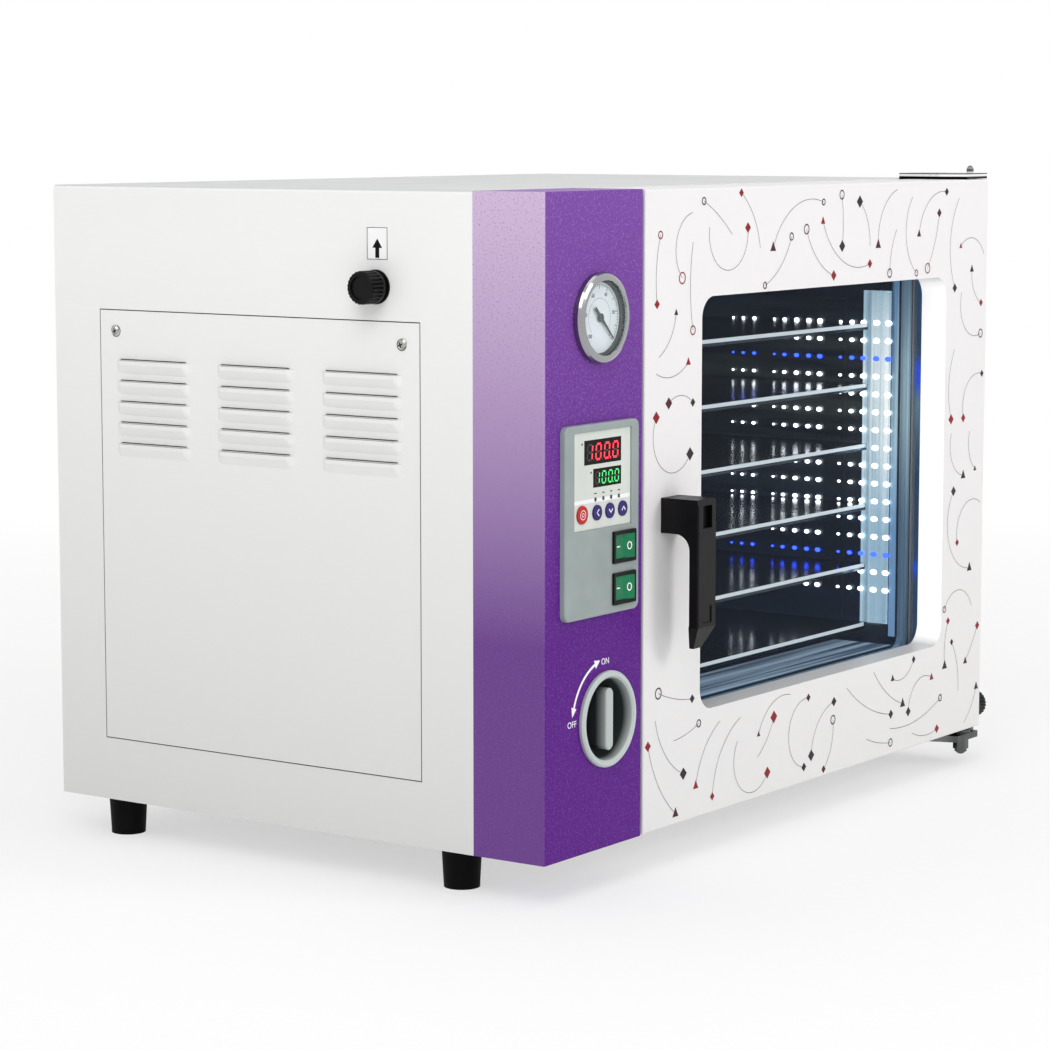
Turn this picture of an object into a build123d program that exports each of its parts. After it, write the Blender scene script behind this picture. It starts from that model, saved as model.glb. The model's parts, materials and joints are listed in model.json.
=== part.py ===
from build123d import *
import os

os.makedirs("parts", exist_ok=True)

# Bench vacuum oven.  Millimetres, +X to the right of someone facing the door, +Y to the back,
# +Z up.  The origin is on the bench, under the middle of the cabinet.

# ---- driving dimensions -------------------------------------------------------------------

# cabinet
body_width = 720.0
body_height = 512.0
shell_depth = 429.0           # the wrapped white shell
front_depth = 66.5            # control column and door zone, in front of the shell
sheet = 1.5                   # sheet steel of every cover
bend_radius = 3.0             # outside radius of the shell's top edges
tray_height = 20.0            # upturned edge of the base
return_flange = 14.0          # inturned edge that the back cover is screwed to
bulkhead_rim = 14.0           # frame left round the opening behind the control column
pipe_clearance = 0.5          # around pipes and fittings where they pass a wall

# feet
foot_height = 34.0
foot_top_radius = 16.25
foot_tip_radius = 14.35
foot_inset_side = 30.0
foot_inset_front = 33.0       # behind the front of the shell
foot_inset_back = 46.0
foot_screw_radius = 3.0
foot_screw_head_radius = 5.5
foot_screw_head = 4.0
foot_counterbore = 12.0

# access panel with louvres, in the left wall
panel_length = 330.0
panel_from_top = 101.0
panel_from_front = 116.0      # from the face of the column
panel_from_bottom = 52.0
panel_gap = 0.9
panel_ledge = 10.0            # how far the ledge reaches in behind the panel
louvre_columns = 3
louvre_rows = 5
louvre_width = 78.0
louvre_height = 10.5
louvre_rise = 3.6
louvre_column_pitch = 107.5
louvre_row_pitch = 17.2
louvre_top_margin = 42.0
louvre_end_slope = 5.0
louvre_crest = 0.3            # height of the flat crest, as a share of the louvre's
louvre_hollow = 0.7           # thickness left in a louvre, as a share of the sheet's
panel_screw_inset = 17.0

# cover screws
screw_radius = 2.0
screw_head_radius = 4.0
screw_head_height = 2.2
screw_head_bevel = 1.3        # on the edge of the head
screw_length = 8.0
screw_clearance = 0.2

# chamber
chamber_from_left = 223.5     # its inner faces, from the outside of the cabinet
chamber_from_right = 81.5
chamber_from_bottom = 83.5
chamber_from_top = 83.5
chamber_from_back = 79.5
chamber_wall = 3.0
chamber_corner = 10.0
flange_margin = 13.5          # flange beyond the chamber's inner faces
flange_thickness = 8.0
gasket_margin_inner = 2.0
gasket_margin_outer = 12.0
gasket_thickness = 5.2
gasket_lip = 3.5              # each side of the groove in its face
gasket_groove = 1.5
heater_thickness = 4.0
heater_margin = 45.0
insulation_thickness = 40.0
stand_width = 60.0

# racks and shelves
shelf_count = 6
first_shelf = 18.5            # top of the lowest shelf above the chamber's floor
last_shelf = 48.5             # top of the highest shelf under the chamber's ceiling
shelf_thickness = 1.5
shelf_lip = 6.0
shelf_setback = 78.0          # front edge of the shelves behind the face of the door
shelf_back_gap = 20.0
rack_post_width = 22.0
rack_post_thickness = 2.0
rack_ledge = 13.0
rack_web = 6.0                # height of the upright strip under each ledge
rack_post_inset = 24.0        # post's edge behind the shelves' front edge
shelf_side_gap = 0.5

# lights in the chamber's front corners
light_setback = 55.0
light_width = 20.0
light_board = 2.0
light_cover_wall = 1.2
light_cover_depth = 9.0
light_margin = 18.5           # above and below the lights

# door
door_gap = 3.0
door_thickness = 56.0
door_edge_gap = 0.5
window_side_margin = 1.25     # beyond the chamber's inner faces
window_end_margin = -4.0      # and above and below them
window_corner = 18.0
reveal_depth = 24.5
glass_thickness = 16.0
glass_margin = 22.5           # beyond the chamber's inner faces
glass_corner = 14.0
clamp_margin = 16.5
recess_margin = 35.5
recess_corner = 22.0
seal_gap = 0.3                # between the glass and the gasket

# hinges
pivot_from_right = 16.0
pivot_from_front = 11.0
pin_radius = 4.0
running_fit = 0.05
bush_radius = 7.0
bush_flange_radius = 10.0
bush_flange = 2.0
bush_length = 15.5
collar_radius = 9.0
collar_thickness = 2.2
hinge_block_depth = 22.0
hinge_block_reach = 16.0
upper_plate = 5.0
lower_plate = 6.0
plate_width = 48.0
plate_taper = 9.0
plate_setback = 1.0
plate_leg = 4.0               # leg between the door and the bulkhead
plate_leg_height = 45.0
hinge_screw_pitch = 24.0
hinge_screw_inset = 20.0      # from the end of the leg
nut_radius = 7.2
nut_height = 10.0
nut_dome_radius = 5.8
nut_neck = 2.5                # round neck under the dome
upper_nut_scale = 0.45        # the upper nut's size, as a share of the lower one's
pin_end_gap = 1.5             # between a pin's end and the bottom of its bush

# thumb knob beside the lower hinge
ear_gap = 4.5
ear_thickness = 3.0
ear_width = 24.0
ear_from_front = 10.0
ear_height = 28.0
thumb_height = 15.0           # centre above the underside of the cabinet
thumb_collar_radius = 9.0
thumb_collar = 8.0            # collar between the ear and the knob

# ribbed knobs
knob_radius = 13.0
knob_length = 16.0
knob_ribs = 24
knob_notch = 1.7              # side of the square notches between the ribs
knob_rib_length = 12.5
knob_edge = 0.8
knob_dish_radius = 9.5
knob_dish_depth = 1.6
knob_stem_radius = 4.0

# vent valve, high on the left wall
vent_from_front = 158.5
vent_from_top = 75.0
vent_neck_radius = 10.5
vent_neck = 2.5
vent_washer_radius = 13.5
vent_washer = 1.5
vent_stem = 12.0              # length of the knob's stem inside the wall
vent_tail_radius = 8.0
vent_tail = 34.0
vent_nut_radius = 13.0
vent_nut = 6.0

# handle
handle_from_left = 175.5
handle_from_bottom = 254.0
handle_width = 27.0
handle_neck_height = 28.0
handle_reach = 35.5
handle_grip = 8.5
handle_drop = 88.0            # pivot to where the tip bends back
handle_tip = 106.0            # pivot to the tip
handle_tip_back = 13.0
handle_inner_radius = 13.0
handle_face_bevel = (1.5, 6.0)   # at the top of the face, back and down
handle_tip_width = 4.0
handle_edge = 1.0
inset_from_tip = 28.0         # centre of the shallow inset near the tip
cover_width = 13.5
cover_height = 18.0
cover_depth = 6.0
cover_sink = 4.2              # cover's face under the grip's
inset_depth = 0.8
handle_tip_half = 5.2         # half the grip's width at its tip
spindle_radius = 5.0
latch_block_width = 20.0
latch_block_height = 32.0
tongue_thickness = 4.0
tongue_hub_radius = 12.0
tongue_length = 34.0
tongue_width = 14.0
tongue_gap = 2.5
latch_nut_radius = 6.5
latch_nut = 2.5
keeper_width = 16.0
keeper_height = 34.0
keeper_edge = 1.5
keeper_past_tip = 2.0
slide_gap = 0.3

# control column
column_width = 135.0
column_edge_radius = 1.5

# vacuum gauge
gauge_from_left = 73.0
gauge_from_top = 97.0
gauge_bezel_radius = 35.0
gauge_bezel_height = 7.0
gauge_bezel_slope = 3.0       # width of the slope round its face
gauge_fit = 0.1               # between the case and what it holds, or is held in
gauge_case_radius = 29.9
gauge_case_wall = 1.2
gauge_case_depth = 28.0
gauge_glass = 2.0
gauge_lip = 1.5
gauge_lip_width = 1.2
gauge_dial = 1.0
gauge_air = 3.0               # between the glass and the dial
gauge_arbor_length = 8.0      # behind the dial
gauge_arbor_radius = 0.8
gauge_hub_radius = 3.4
gauge_needle = 0.6
gauge_needle_length = 24.0
gauge_needle_tail = 11.0
gauge_needle_width = 2.6
gauge_needle_tip = 0.7        # width at the tip
gauge_needle_lift = 1.4       # over the dial
gauge_rest_angle = -44.0      # needle's direction in the dial's plane, from +X towards +Z
gauge_stem_radius = 7.0
gauge_stem = 16.0

# controller, its heights measured from the middle of its bezel
bezel_from_left = 71.75
bezel_width = 102.5
bezel_height = 149.5
bezel_corner = 6.0
bezel_thickness = 5.0
bezel_edge_radius = 1.6
module_from_left = 72.3
module_above = 31.2
module_width = 79.4
module_height = 75.5
module_recess = 1.2
module_depth = 48.0
module_gap = 0.15
display_depth = 2.0
display_gap = 0.05
upper_display = (73.2, 53.0, 51.3, 19.0)       # centre from left, height, width, height
lower_display = (79.4, 32.7, 38.9, 14.5)
button_above = 6.0
power_key = (44.2, 7.1)                        # centre from left, radius
arrow_keys = ((64.8, 6.0), (82.5, 6.0), (100.4, 6.0))
button_height = 1.4
button_depth = 2.6
button_travel = 0.8
button_edge_radius = 0.4

# rocker switches
switch_from_left = 100.6
switch_above = (-23.5, -56.0)
switch_width = 31.2
switch_height = 25.0
switch_corner = 1.0
switch_fit = 0.15             # round the body in its hole
switch_flange = 2.0
switch_body_width = 28.8
switch_body_height = 22.4
switch_body_depth = 23.0
switch_pocket_width = 26.6
switch_pocket_height = 19.4
switch_pocket_depth = 13.0
rocker_half_width = 12.2
rocker_height = 19.0
rocker_face = 4.6             # face of the rocker in front of its pivot, at the ends
rocker_valley = 3.2           # and in the middle
rocker_pivot_depth = 5.0      # pivot behind the flange's face
rocker_tilt = 8.0
rocker_pin_radius = 1.5
rocker_pin = 1.2
rocker_pin_play = 0.1
rocker_side = 2.5             # of the rocker behind its pivot, at the ends
rocker_belly = 5.0            # and in the middle
rocker_belly_half = 4.0

# vacuum valve
valve_from_left = 85.0
valve_from_bottom = 102.0
valve_ring_radius = 38.0
valve_ring_height = 4.0
valve_edge = 1.5              # bevel round the ring
valve_mouth_radius = 32.5
valve_floor_radius = 28.0
valve_dish_depth = 20.0
valve_cup_wall = 1.6
valve_grip_width = 10.0
valve_grip_length = 49.0
valve_grip_proud = 3.5
valve_grip_edge = 1.0
valve_stem_radius = 5.0
valve_stem = 22.0
valve_body_radius = 16.0
valve_body = 34.0

# pipes, rear port and power inlet
pipe_radius = 5.0
pipe_bore_radius = 4.0
pipe_depths = (48.0, 92.0)    # of the pipes behind the shell's front edge
vent_pipe_drop = 75.0
vent_pipe_bend = 14.4
pipe_bend = 24.0
port_outer_radius = 14.0
port_bore_radius = 12.5
port_length = 42.0
port_inside = 24.0
port_flange_radius = 20.0
port_flange = 6.0
inlet_width = 31.0
inlet_height = 24.0
inlet_depth = 26.0
inlet_flange = 2.5
inlet_flange_margin = 6.0
inlet_flange_corner = 3.0
inlet_fit = 0.2               # gap on each side in the back cover
inlet_recess_width = 24.5
inlet_recess_height = 16.5
inlet_recess_depth = 16.0
inlet_blade_length = 10.0
inlet_blade = (2.0, 4.0)      # width and height
inlet_blade_places = ((-7.0, -2.0), (0.0, 2.0), (7.0, -2.0))
inlet_from_left = 160.0
inlet_from_bottom = 70.0

# ---- places worked out from the dimensions -------------------------------------------------

left = -body_width / 2
right = body_width / 2
bottom = foot_height
top = bottom + body_height
front = -(front_depth + shell_depth) / 2
shell_front = front + front_depth
back = shell_front + shell_depth
core_half = body_width / 2 - sheet             # inner face of the shell's side walls
core_top = top - sheet

chamber_left = left + chamber_from_left
chamber_floor = bottom + chamber_from_bottom
chamber_back = back - chamber_from_back
chamber_width = body_width - chamber_from_left - chamber_from_right
chamber_height = body_height - chamber_from_bottom - chamber_from_top
chamber_x = chamber_left + chamber_width / 2
chamber_z = chamber_floor + chamber_height / 2
glass_front = front + reveal_depth
glass_back = glass_front + glass_thickness
gasket_front = glass_back + seal_gap
flange_front = gasket_front + gasket_thickness

column_right = left + column_width
door_left = column_right + door_gap
door_back = front + door_thickness
door_bottom = bottom
door_top = top - door_edge_gap
pivot_x = right - pivot_from_right
pivot_y = front + pivot_from_front
lower_plate_top = door_bottom - bush_flange - slide_gap - collar_thickness
lower_plate_bottom = lower_plate_top - lower_plate

handle_x = left + handle_from_left
handle_z = bottom + handle_from_bottom
gauge_x = left + gauge_from_left
gauge_z = top - gauge_from_top
valve_x = left + valve_from_left
valve_z = bottom + valve_from_bottom
bezel_z = (gauge_z - gauge_bezel_radius + valve_z + valve_ring_radius) / 2
switch_zs = [bezel_z + above for above in switch_above]
vent_y = front + vent_from_front
vent_z = top - vent_from_top
panel_y = front + panel_from_front + panel_length / 2
panel_height = body_height - panel_from_bottom - panel_from_top
panel_z = bottom + panel_from_bottom + panel_height / 2
switch_x = left + switch_from_left
thumb_y = front + ear_from_front + ear_width / 2
thumb_z = bottom + thumb_height
inlet_x = left + inlet_from_left
inlet_z = bottom + inlet_from_bottom
shelf_front = front + shelf_setback
shelf_depth = chamber_back - shelf_back_gap - shelf_front
shelf_pitch = (chamber_height - first_shelf - last_shelf) / (shelf_count - 1)
shelf_tops = [chamber_floor + first_shelf + i * shelf_pitch for i in range(shelf_count)]


# ---- small helpers -------------------------------------------------------------------------

def block(x0, x1, y0, y1, z0, z1):
    """A box between two corners."""
    middle = Pos((x0 + x1) / 2, (y0 + y1) / 2, (z0 + z1) / 2)
    return middle * Box(x1 - x0, y1 - y0, z1 - z0)


def along_x(outline, x0, x1):
    """An outline drawn in (y, z), extruded from x0 to x1."""
    return Pos(x0, 0, 0) * extrude(Plane.YZ * outline, x1 - x0)


def along_y(outline, y0, y1):
    """An outline drawn in (x, z), extruded from y0 to y1."""
    return Pos(0, y1, 0) * extrude(Plane.XZ * outline, y1 - y0)


def along_z(outline, z0, z1):
    """An outline drawn in (x, y), extruded from z0 to z1."""
    return Pos(0, 0, z0) * extrude(outline, z1 - z0)


def rounded(cx, cy, width, height, radius):
    """A rounded rectangle about a centre."""
    return Pos(cx, cy) * RectangleRounded(width, height, radius)


def round_bar(axis, centre, radius, start, end):
    """A cylinder along an axis, through a centre in the other two directions."""
    outline = Pos(*centre) * Circle(radius)
    extruders = {"x": along_x, "y": along_y, "z": along_z}
    return extruders[axis](outline, start, end)


def turned(points, x, z):
    """A ring or cup turned about the line along Y through (x, z), from (radius, y) points."""
    return Pos(x, 0, z) * revolve(make_face(Polyline(*points, close=True)), Axis.Y)


def hexagon(radius):
    return RegularPolygon(radius, 6)


def mouth(margin_x, margin_z, radius):
    """A rounded rectangle about the chamber's mouth, larger than it by a margin."""
    return rounded(chamber_x, chamber_z, chamber_width + 2 * margin_x,
                   chamber_height + 2 * margin_z, radius)


def mouth_ring(inner, outer, inner_radius, outer_radius, y0, y1):
    """A frame round the chamber's mouth, between two margins."""
    return along_y(mouth(outer, outer, outer_radius) - mouth(inner, inner, inner_radius), y0, y1)


# ---- cabinet -------------------------------------------------------------------------------

def cabinet_outline():
    """End view of the cabinet, with bent top edges."""
    outline = Pos(0, bottom + body_height / 2) * Rectangle(body_width, body_height)
    return fillet(outline.vertices().group_by(Axis.Y)[-1], bend_radius)


def core_outline(floor):
    """Inside of the shell from a floor height up."""
    height = core_top - floor
    outline = Pos(0, floor + height / 2) * Rectangle(2 * core_half, height)
    return fillet(outline.vertices().group_by(Axis.Y)[-1], bend_radius - sheet)


def panel_outline(margin):
    """The access panel's opening in the left wall, grown by a margin."""
    return Pos(panel_y, panel_z) * Rectangle(panel_length + 2 * margin, panel_height + 2 * margin)


def panel_screw_places():
    """The two screws at the access panel's top corners."""
    dy = panel_length / 2 - panel_screw_inset
    z = panel_z + panel_height / 2 - panel_screw_inset
    return [(panel_y - dy, z), (panel_y + dy, z)]


def back_screw_places():
    """Screws round the back cover, in the middle of the flange behind it."""
    inset = sheet + return_flange / 2
    side_x = body_width / 2 - inset
    low_z = bottom + tray_height / 2
    high_z = top - inset
    places = [(s * side_x, z) for s in (-1, 1)
              for z in (low_z, (2 * low_z + high_z) / 3, (low_z + 2 * high_z) / 3, high_z)]
    return places + [(0, low_z), (0, high_z)]


def back_screw_holes():
    holes = [round_bar("y", p, screw_radius + screw_clearance, back - 3 * sheet, back + sheet)
             for p in back_screw_places()]
    return Compound(holes)


def outer_shell():
    wrapper = along_y(cabinet_outline() - core_outline(bottom), shell_front, back - sheet)
    flange_floor = bottom + tray_height
    flange_window = core_top - return_flange - flange_floor
    inside = Pos(0, flange_floor + flange_window / 2)
    inside *= Rectangle(2 * (core_half - return_flange), flange_window)
    rear_flange = along_y(core_outline(flange_floor) - inside, back - 2 * sheet, back - sheet)
    wrapper -= along_x(panel_outline(0), left - sheet, left + 2 * sheet)
    ledge = along_x(panel_outline(panel_ledge) - panel_outline(-panel_ledge),
                    left + sheet, left + 2 * sheet)
    shell = wrapper + rear_flange + ledge
    for place in panel_screw_places():
        shell -= round_bar("x", place, screw_radius + screw_clearance, left, left + 3 * sheet)
    shell -= round_bar("x", (vent_y, vent_z), vent_tail_radius + pipe_clearance,
                       left - sheet, left + 2 * sheet)
    return shell - back_screw_holes()


def base_pan():
    tray = block(-core_half, core_half, shell_front + sheet, back - sheet, bottom,
                 bottom + tray_height)
    tray -= block(-core_half + sheet, core_half - sheet, shell_front + 2 * sheet,
                  back - 2 * sheet, bottom + sheet, top)
    for x, y in foot_places():
        tray -= round_bar("z", (x, y), foot_screw_radius + screw_clearance, 0, bottom + 2 * sheet)
    return tray - back_screw_holes()


def back_cover():
    cover = along_y(cabinet_outline(), back - sheet, back)
    cover -= round_bar("y", (valve_x, valve_z), port_outer_radius + pipe_clearance,
                       back - 2 * sheet, back + sheet)
    inlet_hole = Rectangle(inlet_width + 2 * inlet_fit, inlet_height + 2 * inlet_fit)
    cover -= along_y(Pos(inlet_x, inlet_z) * inlet_hole, back - 2 * sheet, back + sheet)
    return cover - back_screw_holes()


def pan_head_screw(length):
    """A screw along +Z, its head's seat at z = 0 and its bevelled head above."""
    head = extrude(Circle(screw_head_radius), screw_head_height)
    head = chamfer(head.edges().group_by(Axis.Z)[-1], screw_head_bevel)
    return head + Pos(0, 0, -length / 2) * Cylinder(screw_radius, length)


def back_cover_screws():
    screw = pan_head_screw(screw_length)
    return [Pos(x, back, z) * Rot(-90, 0, 0) * screw for x, z in back_screw_places()]


def louvre(skin, lift):
    """One louvre's form on the outside of the left wall, inset by a skin and open upwards.

    The hood is highest along its upper edge, where the mouth is, and slopes into the panel at
    its lower edge and its two ends."""
    low_width = louvre_width - 2 * skin
    high_width = low_width - 2 * louvre_end_slope
    low_height = louvre_height - skin + lift
    high_height = louvre_height * louvre_crest + lift
    top_edge = louvre_height / 2 + lift
    base = Pos(0, top_edge - low_height / 2) * Rectangle(low_width, low_height)
    base = fillet(base.vertices().group_by(Axis.Y)[0], louvre_height * louvre_crest * 1.5)
    crest = Pos(0, top_edge - high_height / 2) * Rectangle(high_width, high_height)
    crest = fillet(crest.vertices().group_by(Axis.Y)[0], louvre_height * louvre_crest / 2)
    outside = Plane(origin=(0, 0, 0), x_dir=(0, -1, 0), z_dir=(-1, 0, 0))
    depth = -2 * sheet if lift else 0
    return loft([outside.offset(depth) * base, outside.offset(louvre_rise - skin) * crest],
                ruled=True)


def side_access_panel():
    panel = along_x(panel_outline(-panel_gap), left, left + sheet)
    first_z = panel_z + panel_height / 2 - louvre_top_margin - louvre_height / 2
    hood = louvre(0, 0)
    hollow = louvre(sheet * louvre_hollow, sheet)
    for column in range(louvre_columns):
        y = panel_y + (column - (louvre_columns - 1) / 2) * louvre_column_pitch
        for row in range(louvre_rows):
            place = Pos(left, y, first_z - row * louvre_row_pitch)
            panel = panel + place * hood - place * hollow
    for place in panel_screw_places():
        panel -= round_bar("x", place, screw_radius + screw_clearance, left - sheet, left + 2 * sheet)
    return panel


def access_panel_screws():
    screw = pan_head_screw(screw_length)
    return [Pos(left, y, z) * Rot(0, -90, 0) * screw for y, z in panel_screw_places()]


def front_bulkhead():
    plate = along_y(core_outline(bottom), shell_front, shell_front + sheet)
    tube = mouth(chamber_wall, chamber_wall, chamber_corner + chamber_wall)
    plate -= along_y(tube, shell_front - sheet, shell_front + 2 * sheet)
    plate -= block(left + bulkhead_rim, column_right - bulkhead_rim, shell_front - sheet,
                   shell_front + 2 * sheet, bottom + 2 * bulkhead_rim, top - 2 * bulkhead_rim)
    return plate + latch_keeper() - hinge_screw_holes()


def foot_places():
    xs = (left + foot_inset_side, right - foot_inset_side)
    ys = (shell_front + foot_inset_front, back - foot_inset_back)
    return [(x, y) for x in xs for y in ys]


def rubber_feet():
    foot = Pos(0, 0, foot_height / 2) * Cone(foot_tip_radius, foot_top_radius, foot_height)
    foot -= round_bar("z", (0, 0), foot_screw_radius + screw_clearance, 0, foot_height)
    foot -= round_bar("z", (0, 0), foot_screw_head_radius + 1, 0, foot_counterbore)
    return [Pos(x, y, 0) * foot for x, y in foot_places()]


def foot_screws():
    head = round_bar("z", (0, 0), foot_screw_head_radius,
                     foot_counterbore - foot_screw_head, foot_counterbore)
    shank = round_bar("z", (0, 0), foot_screw_radius, foot_counterbore, bottom + 4 * sheet)
    nut = along_z(hexagon(foot_screw_radius * 2) - Circle(foot_screw_radius),
                  bottom + sheet, bottom + 4 * sheet)
    return [Pos(x, y, 0) * (head + shank + nut) for x, y in foot_places()]


# ---- chamber -------------------------------------------------------------------------------

def chamber():
    outer_corner = chamber_corner + chamber_wall
    tube = mouth_ring(0, chamber_wall, chamber_corner, outer_corner, flange_front, chamber_back)
    end = along_y(mouth(chamber_wall, chamber_wall, outer_corner), chamber_back,
                  chamber_back + chamber_wall)
    flange = mouth_ring(0, flange_margin, chamber_corner, chamber_corner + flange_margin,
                        flange_front, flange_front + flange_thickness)
    box = tube + end + flange
    for y, z in pipe_entries():
        box -= round_bar("x", (y, z), pipe_bore_radius, chamber_left - 2 * chamber_wall,
                         chamber_left + chamber_wall)
    return box


def door_gasket():
    inner_radius = chamber_corner + gasket_margin_inner
    ring = mouth_ring(gasket_margin_inner, gasket_margin_outer, inner_radius,
                      chamber_corner + gasket_margin_outer, gasket_front, flange_front)
    groove = mouth_ring(gasket_margin_inner + gasket_lip, gasket_margin_outer - gasket_lip,
                        inner_radius + gasket_lip,
                        chamber_corner + gasket_margin_outer - gasket_lip, gasket_front,
                        gasket_front + gasket_groove)
    return ring - groove


def heater_plates():
    """Four flat heaters on the chamber's walls."""
    half_w = chamber_width / 2 + chamber_wall
    half_h = chamber_height / 2 + chamber_wall
    y0 = shell_front + heater_margin
    y1 = chamber_back - heater_margin
    span_w = chamber_width / 2 - heater_margin
    span_h = chamber_height / 2 - heater_margin
    low_z = chamber_z - span_h
    high_z = chamber_z + span_h
    plates = [block(chamber_x - span_w, chamber_x + span_w, y0, y1, chamber_z + half_h,
                    chamber_z + half_h + heater_thickness),
              block(chamber_x - span_w, chamber_x + span_w, y0, y1,
                    chamber_z - half_h - heater_thickness, chamber_z - half_h),
              block(chamber_x + half_w, chamber_x + half_w + heater_thickness, y0, y1, low_z,
                    high_z),
              block(chamber_x - half_w - heater_thickness, chamber_x - half_w, y0, y1, low_z,
                    high_z)]
    holes = [round_bar("x", p, pipe_radius + pipe_clearance, left, chamber_left)
             for p in pipe_entries()]
    return [plate - Compound(holes) for plate in plates]


def insulation():
    """A jacket round the chamber, with holes for the pipes."""
    inner = chamber_wall + heater_thickness
    outer = inner + insulation_thickness
    chamber_end = chamber_back + chamber_wall
    jacket = along_y(mouth(outer, outer, chamber_corner + outer), shell_front + sheet,
                     chamber_end + insulation_thickness)
    jacket -= along_y(mouth(inner, inner, chamber_corner + inner), shell_front, chamber_end)
    for place in pipe_entries():
        jacket -= round_bar("x", place, pipe_radius + pipe_clearance,
                            chamber_left - 2 * outer, chamber_left)
    return jacket


def chamber_stands():
    """Two channels that carry the chamber's jacket on the base."""
    jacket_bottom = chamber_floor - chamber_wall - heater_thickness - insulation_thickness
    length = chamber_width - 2 * stand_width
    stands = []
    for y in (shell_front + stand_width + sheet, chamber_back - stand_width):
        rail = block(chamber_x - length / 2, chamber_x + length / 2, y - stand_width / 2,
                     y + stand_width / 2, bottom + sheet, jacket_bottom)
        rail -= block(chamber_x - length, chamber_x + length, y - stand_width / 2 + sheet,
                      y + stand_width / 2 - sheet, bottom, jacket_bottom - sheet)
        stands.append(rail)
    return stands


def rack(side):
    """A ladder of ledges on one side wall; side is -1 for the left one and 1 for the right."""
    wall = chamber_x + side * chamber_width / 2
    post_face = wall - side * rack_post_thickness
    ledge_tip = wall - side * rack_ledge
    posts = []
    y_front = shelf_front + rack_post_inset
    y_back = shelf_front + shelf_depth - rack_post_inset - rack_post_width
    low_z = chamber_floor + chamber_corner + slide_gap
    high_z = shelf_tops[-1] + rack_post_width
    for y in (y_front, y_back):
        posts.append(block(min(wall, post_face), max(wall, post_face), y, y + rack_post_width,
                           low_z, high_z))
    ledges = []
    for shelf_top in shelf_tops:
        z = shelf_top - shelf_thickness
        flat = block(min(wall, ledge_tip), max(wall, ledge_tip), y_front,
                     y_back + rack_post_width, z - shelf_thickness, z)
        web = block(min(wall, post_face), max(wall, post_face), y_front,
                    y_back + rack_post_width, z - rack_web, z)
        ledges += [flat, web]
    return sum_of(posts + ledges)


def sum_of(pieces):
    """The pieces joined into one solid."""
    joined = pieces[0]
    for piece in pieces[1:]:
        joined = joined + piece
    return joined


def shelf(shelf_top):
    half = chamber_width / 2 - rack_post_thickness - shelf_side_gap
    plate = block(chamber_x - half, chamber_x + half, shelf_front, shelf_front + shelf_depth,
                  shelf_top - shelf_lip, shelf_top)
    plate -= block(chamber_x - half - 1, chamber_x + half + 1, shelf_front + shelf_thickness,
                   shelf_front + shelf_depth - shelf_thickness, shelf_top - 2 * shelf_lip,
                   shelf_top - shelf_thickness)
    return plate


def light_parts():
    """Boards and clear covers of the two corner lights."""
    light_height = chamber_height - 2 * light_margin
    z0 = chamber_z - light_height / 2
    z1 = chamber_z + light_height / 2
    y0 = front + light_setback
    y1 = y0 + light_width
    boards, covers = [], []
    for side in (-1, 1):
        wall = chamber_x + side * chamber_width / 2
        face = wall - side * light_board
        tip = wall - side * light_cover_depth
        boards.append(block(min(wall, face), max(wall, face), y0, y1, z0, z1))
        outer = Pos((y0 + y1) / 2, chamber_z) * RectangleRounded(
            light_width + 2 * (light_cover_wall + slide_gap),
            light_height + 2 * (light_cover_wall + slide_gap), light_width / 3)
        cover = along_x(outer, min(wall, tip), max(wall, tip))
        inner_tip = tip + side * light_cover_wall
        cover -= block(min(wall, inner_tip), max(wall, inner_tip), y0 - slide_gap, y1 + slide_gap,
                       z0 - slide_gap, z1 + slide_gap)
        covers.append(cover)
    return boards, covers


# ---- pipes and fittings --------------------------------------------------------------------

def pipe_entries():
    """Where the three pipes meet the chamber's left wall, as (y, z)."""
    near_y, far_y = (shell_front + depth for depth in pipe_depths)
    return [(near_y, valve_z), (near_y, gauge_z), (far_y, vent_z - vent_pipe_drop)]


def bent_pipe(points, bend):
    route = FilletPolyline(*points, radius=bend)
    start = Plane(origin=route @ 0, z_dir=route % 0)
    return sweep(start * Circle(pipe_radius), path=route)


def vacuum_pipes():
    """Valve to chamber and rear port, gauge to chamber, vent valve to chamber."""
    (low_y, low_z), (gauge_y, gauge_pipe_z), (vent_pipe_y, vent_pipe_z) = pipe_entries()
    chamber_wall_x = chamber_left - chamber_wall
    valve_tail = front + valve_dish_depth + valve_cup_wall + valve_body
    trunk = round_bar("y", (valve_x, valve_z), pipe_radius, valve_tail, back - port_inside)
    branch = round_bar("x", (low_y, low_z), pipe_radius, valve_x, chamber_wall_x)
    gauge_start = front + gauge_case_depth + gauge_stem
    gauge_points = [(gauge_x, gauge_start, gauge_pipe_z), (gauge_x, gauge_y, gauge_pipe_z),
                    (chamber_wall_x, gauge_y, gauge_pipe_z)]
    vent_start = left + vent_tail
    bend_x = (vent_start + chamber_wall_x - insulation_thickness) / 2
    vent_points = [(vent_start, vent_y, vent_z), (bend_x, vent_y, vent_z),
                   (bend_x, vent_pipe_y, vent_pipe_z), (chamber_wall_x, vent_pipe_y, vent_pipe_z)]
    return [trunk + branch, bent_pipe(gauge_points, pipe_bend),
            bent_pipe(vent_points, vent_pipe_bend)]


def vacuum_port():
    """A short stub with a clamp flange, through the back cover."""
    start = back - port_inside
    end = start + port_inside + port_length
    body = round_bar("y", (valve_x, valve_z), port_outer_radius, start, end)
    body += round_bar("y", (valve_x, valve_z), port_flange_radius, end - port_flange, end)
    body += round_bar("y", (valve_x, valve_z), port_flange_radius, back, back + port_flange)
    body -= round_bar("y", (valve_x, valve_z), port_bore_radius, start + 2 * sheet, end)
    return body - round_bar("y", (valve_x, valve_z), pipe_bore_radius, start, end)


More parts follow.
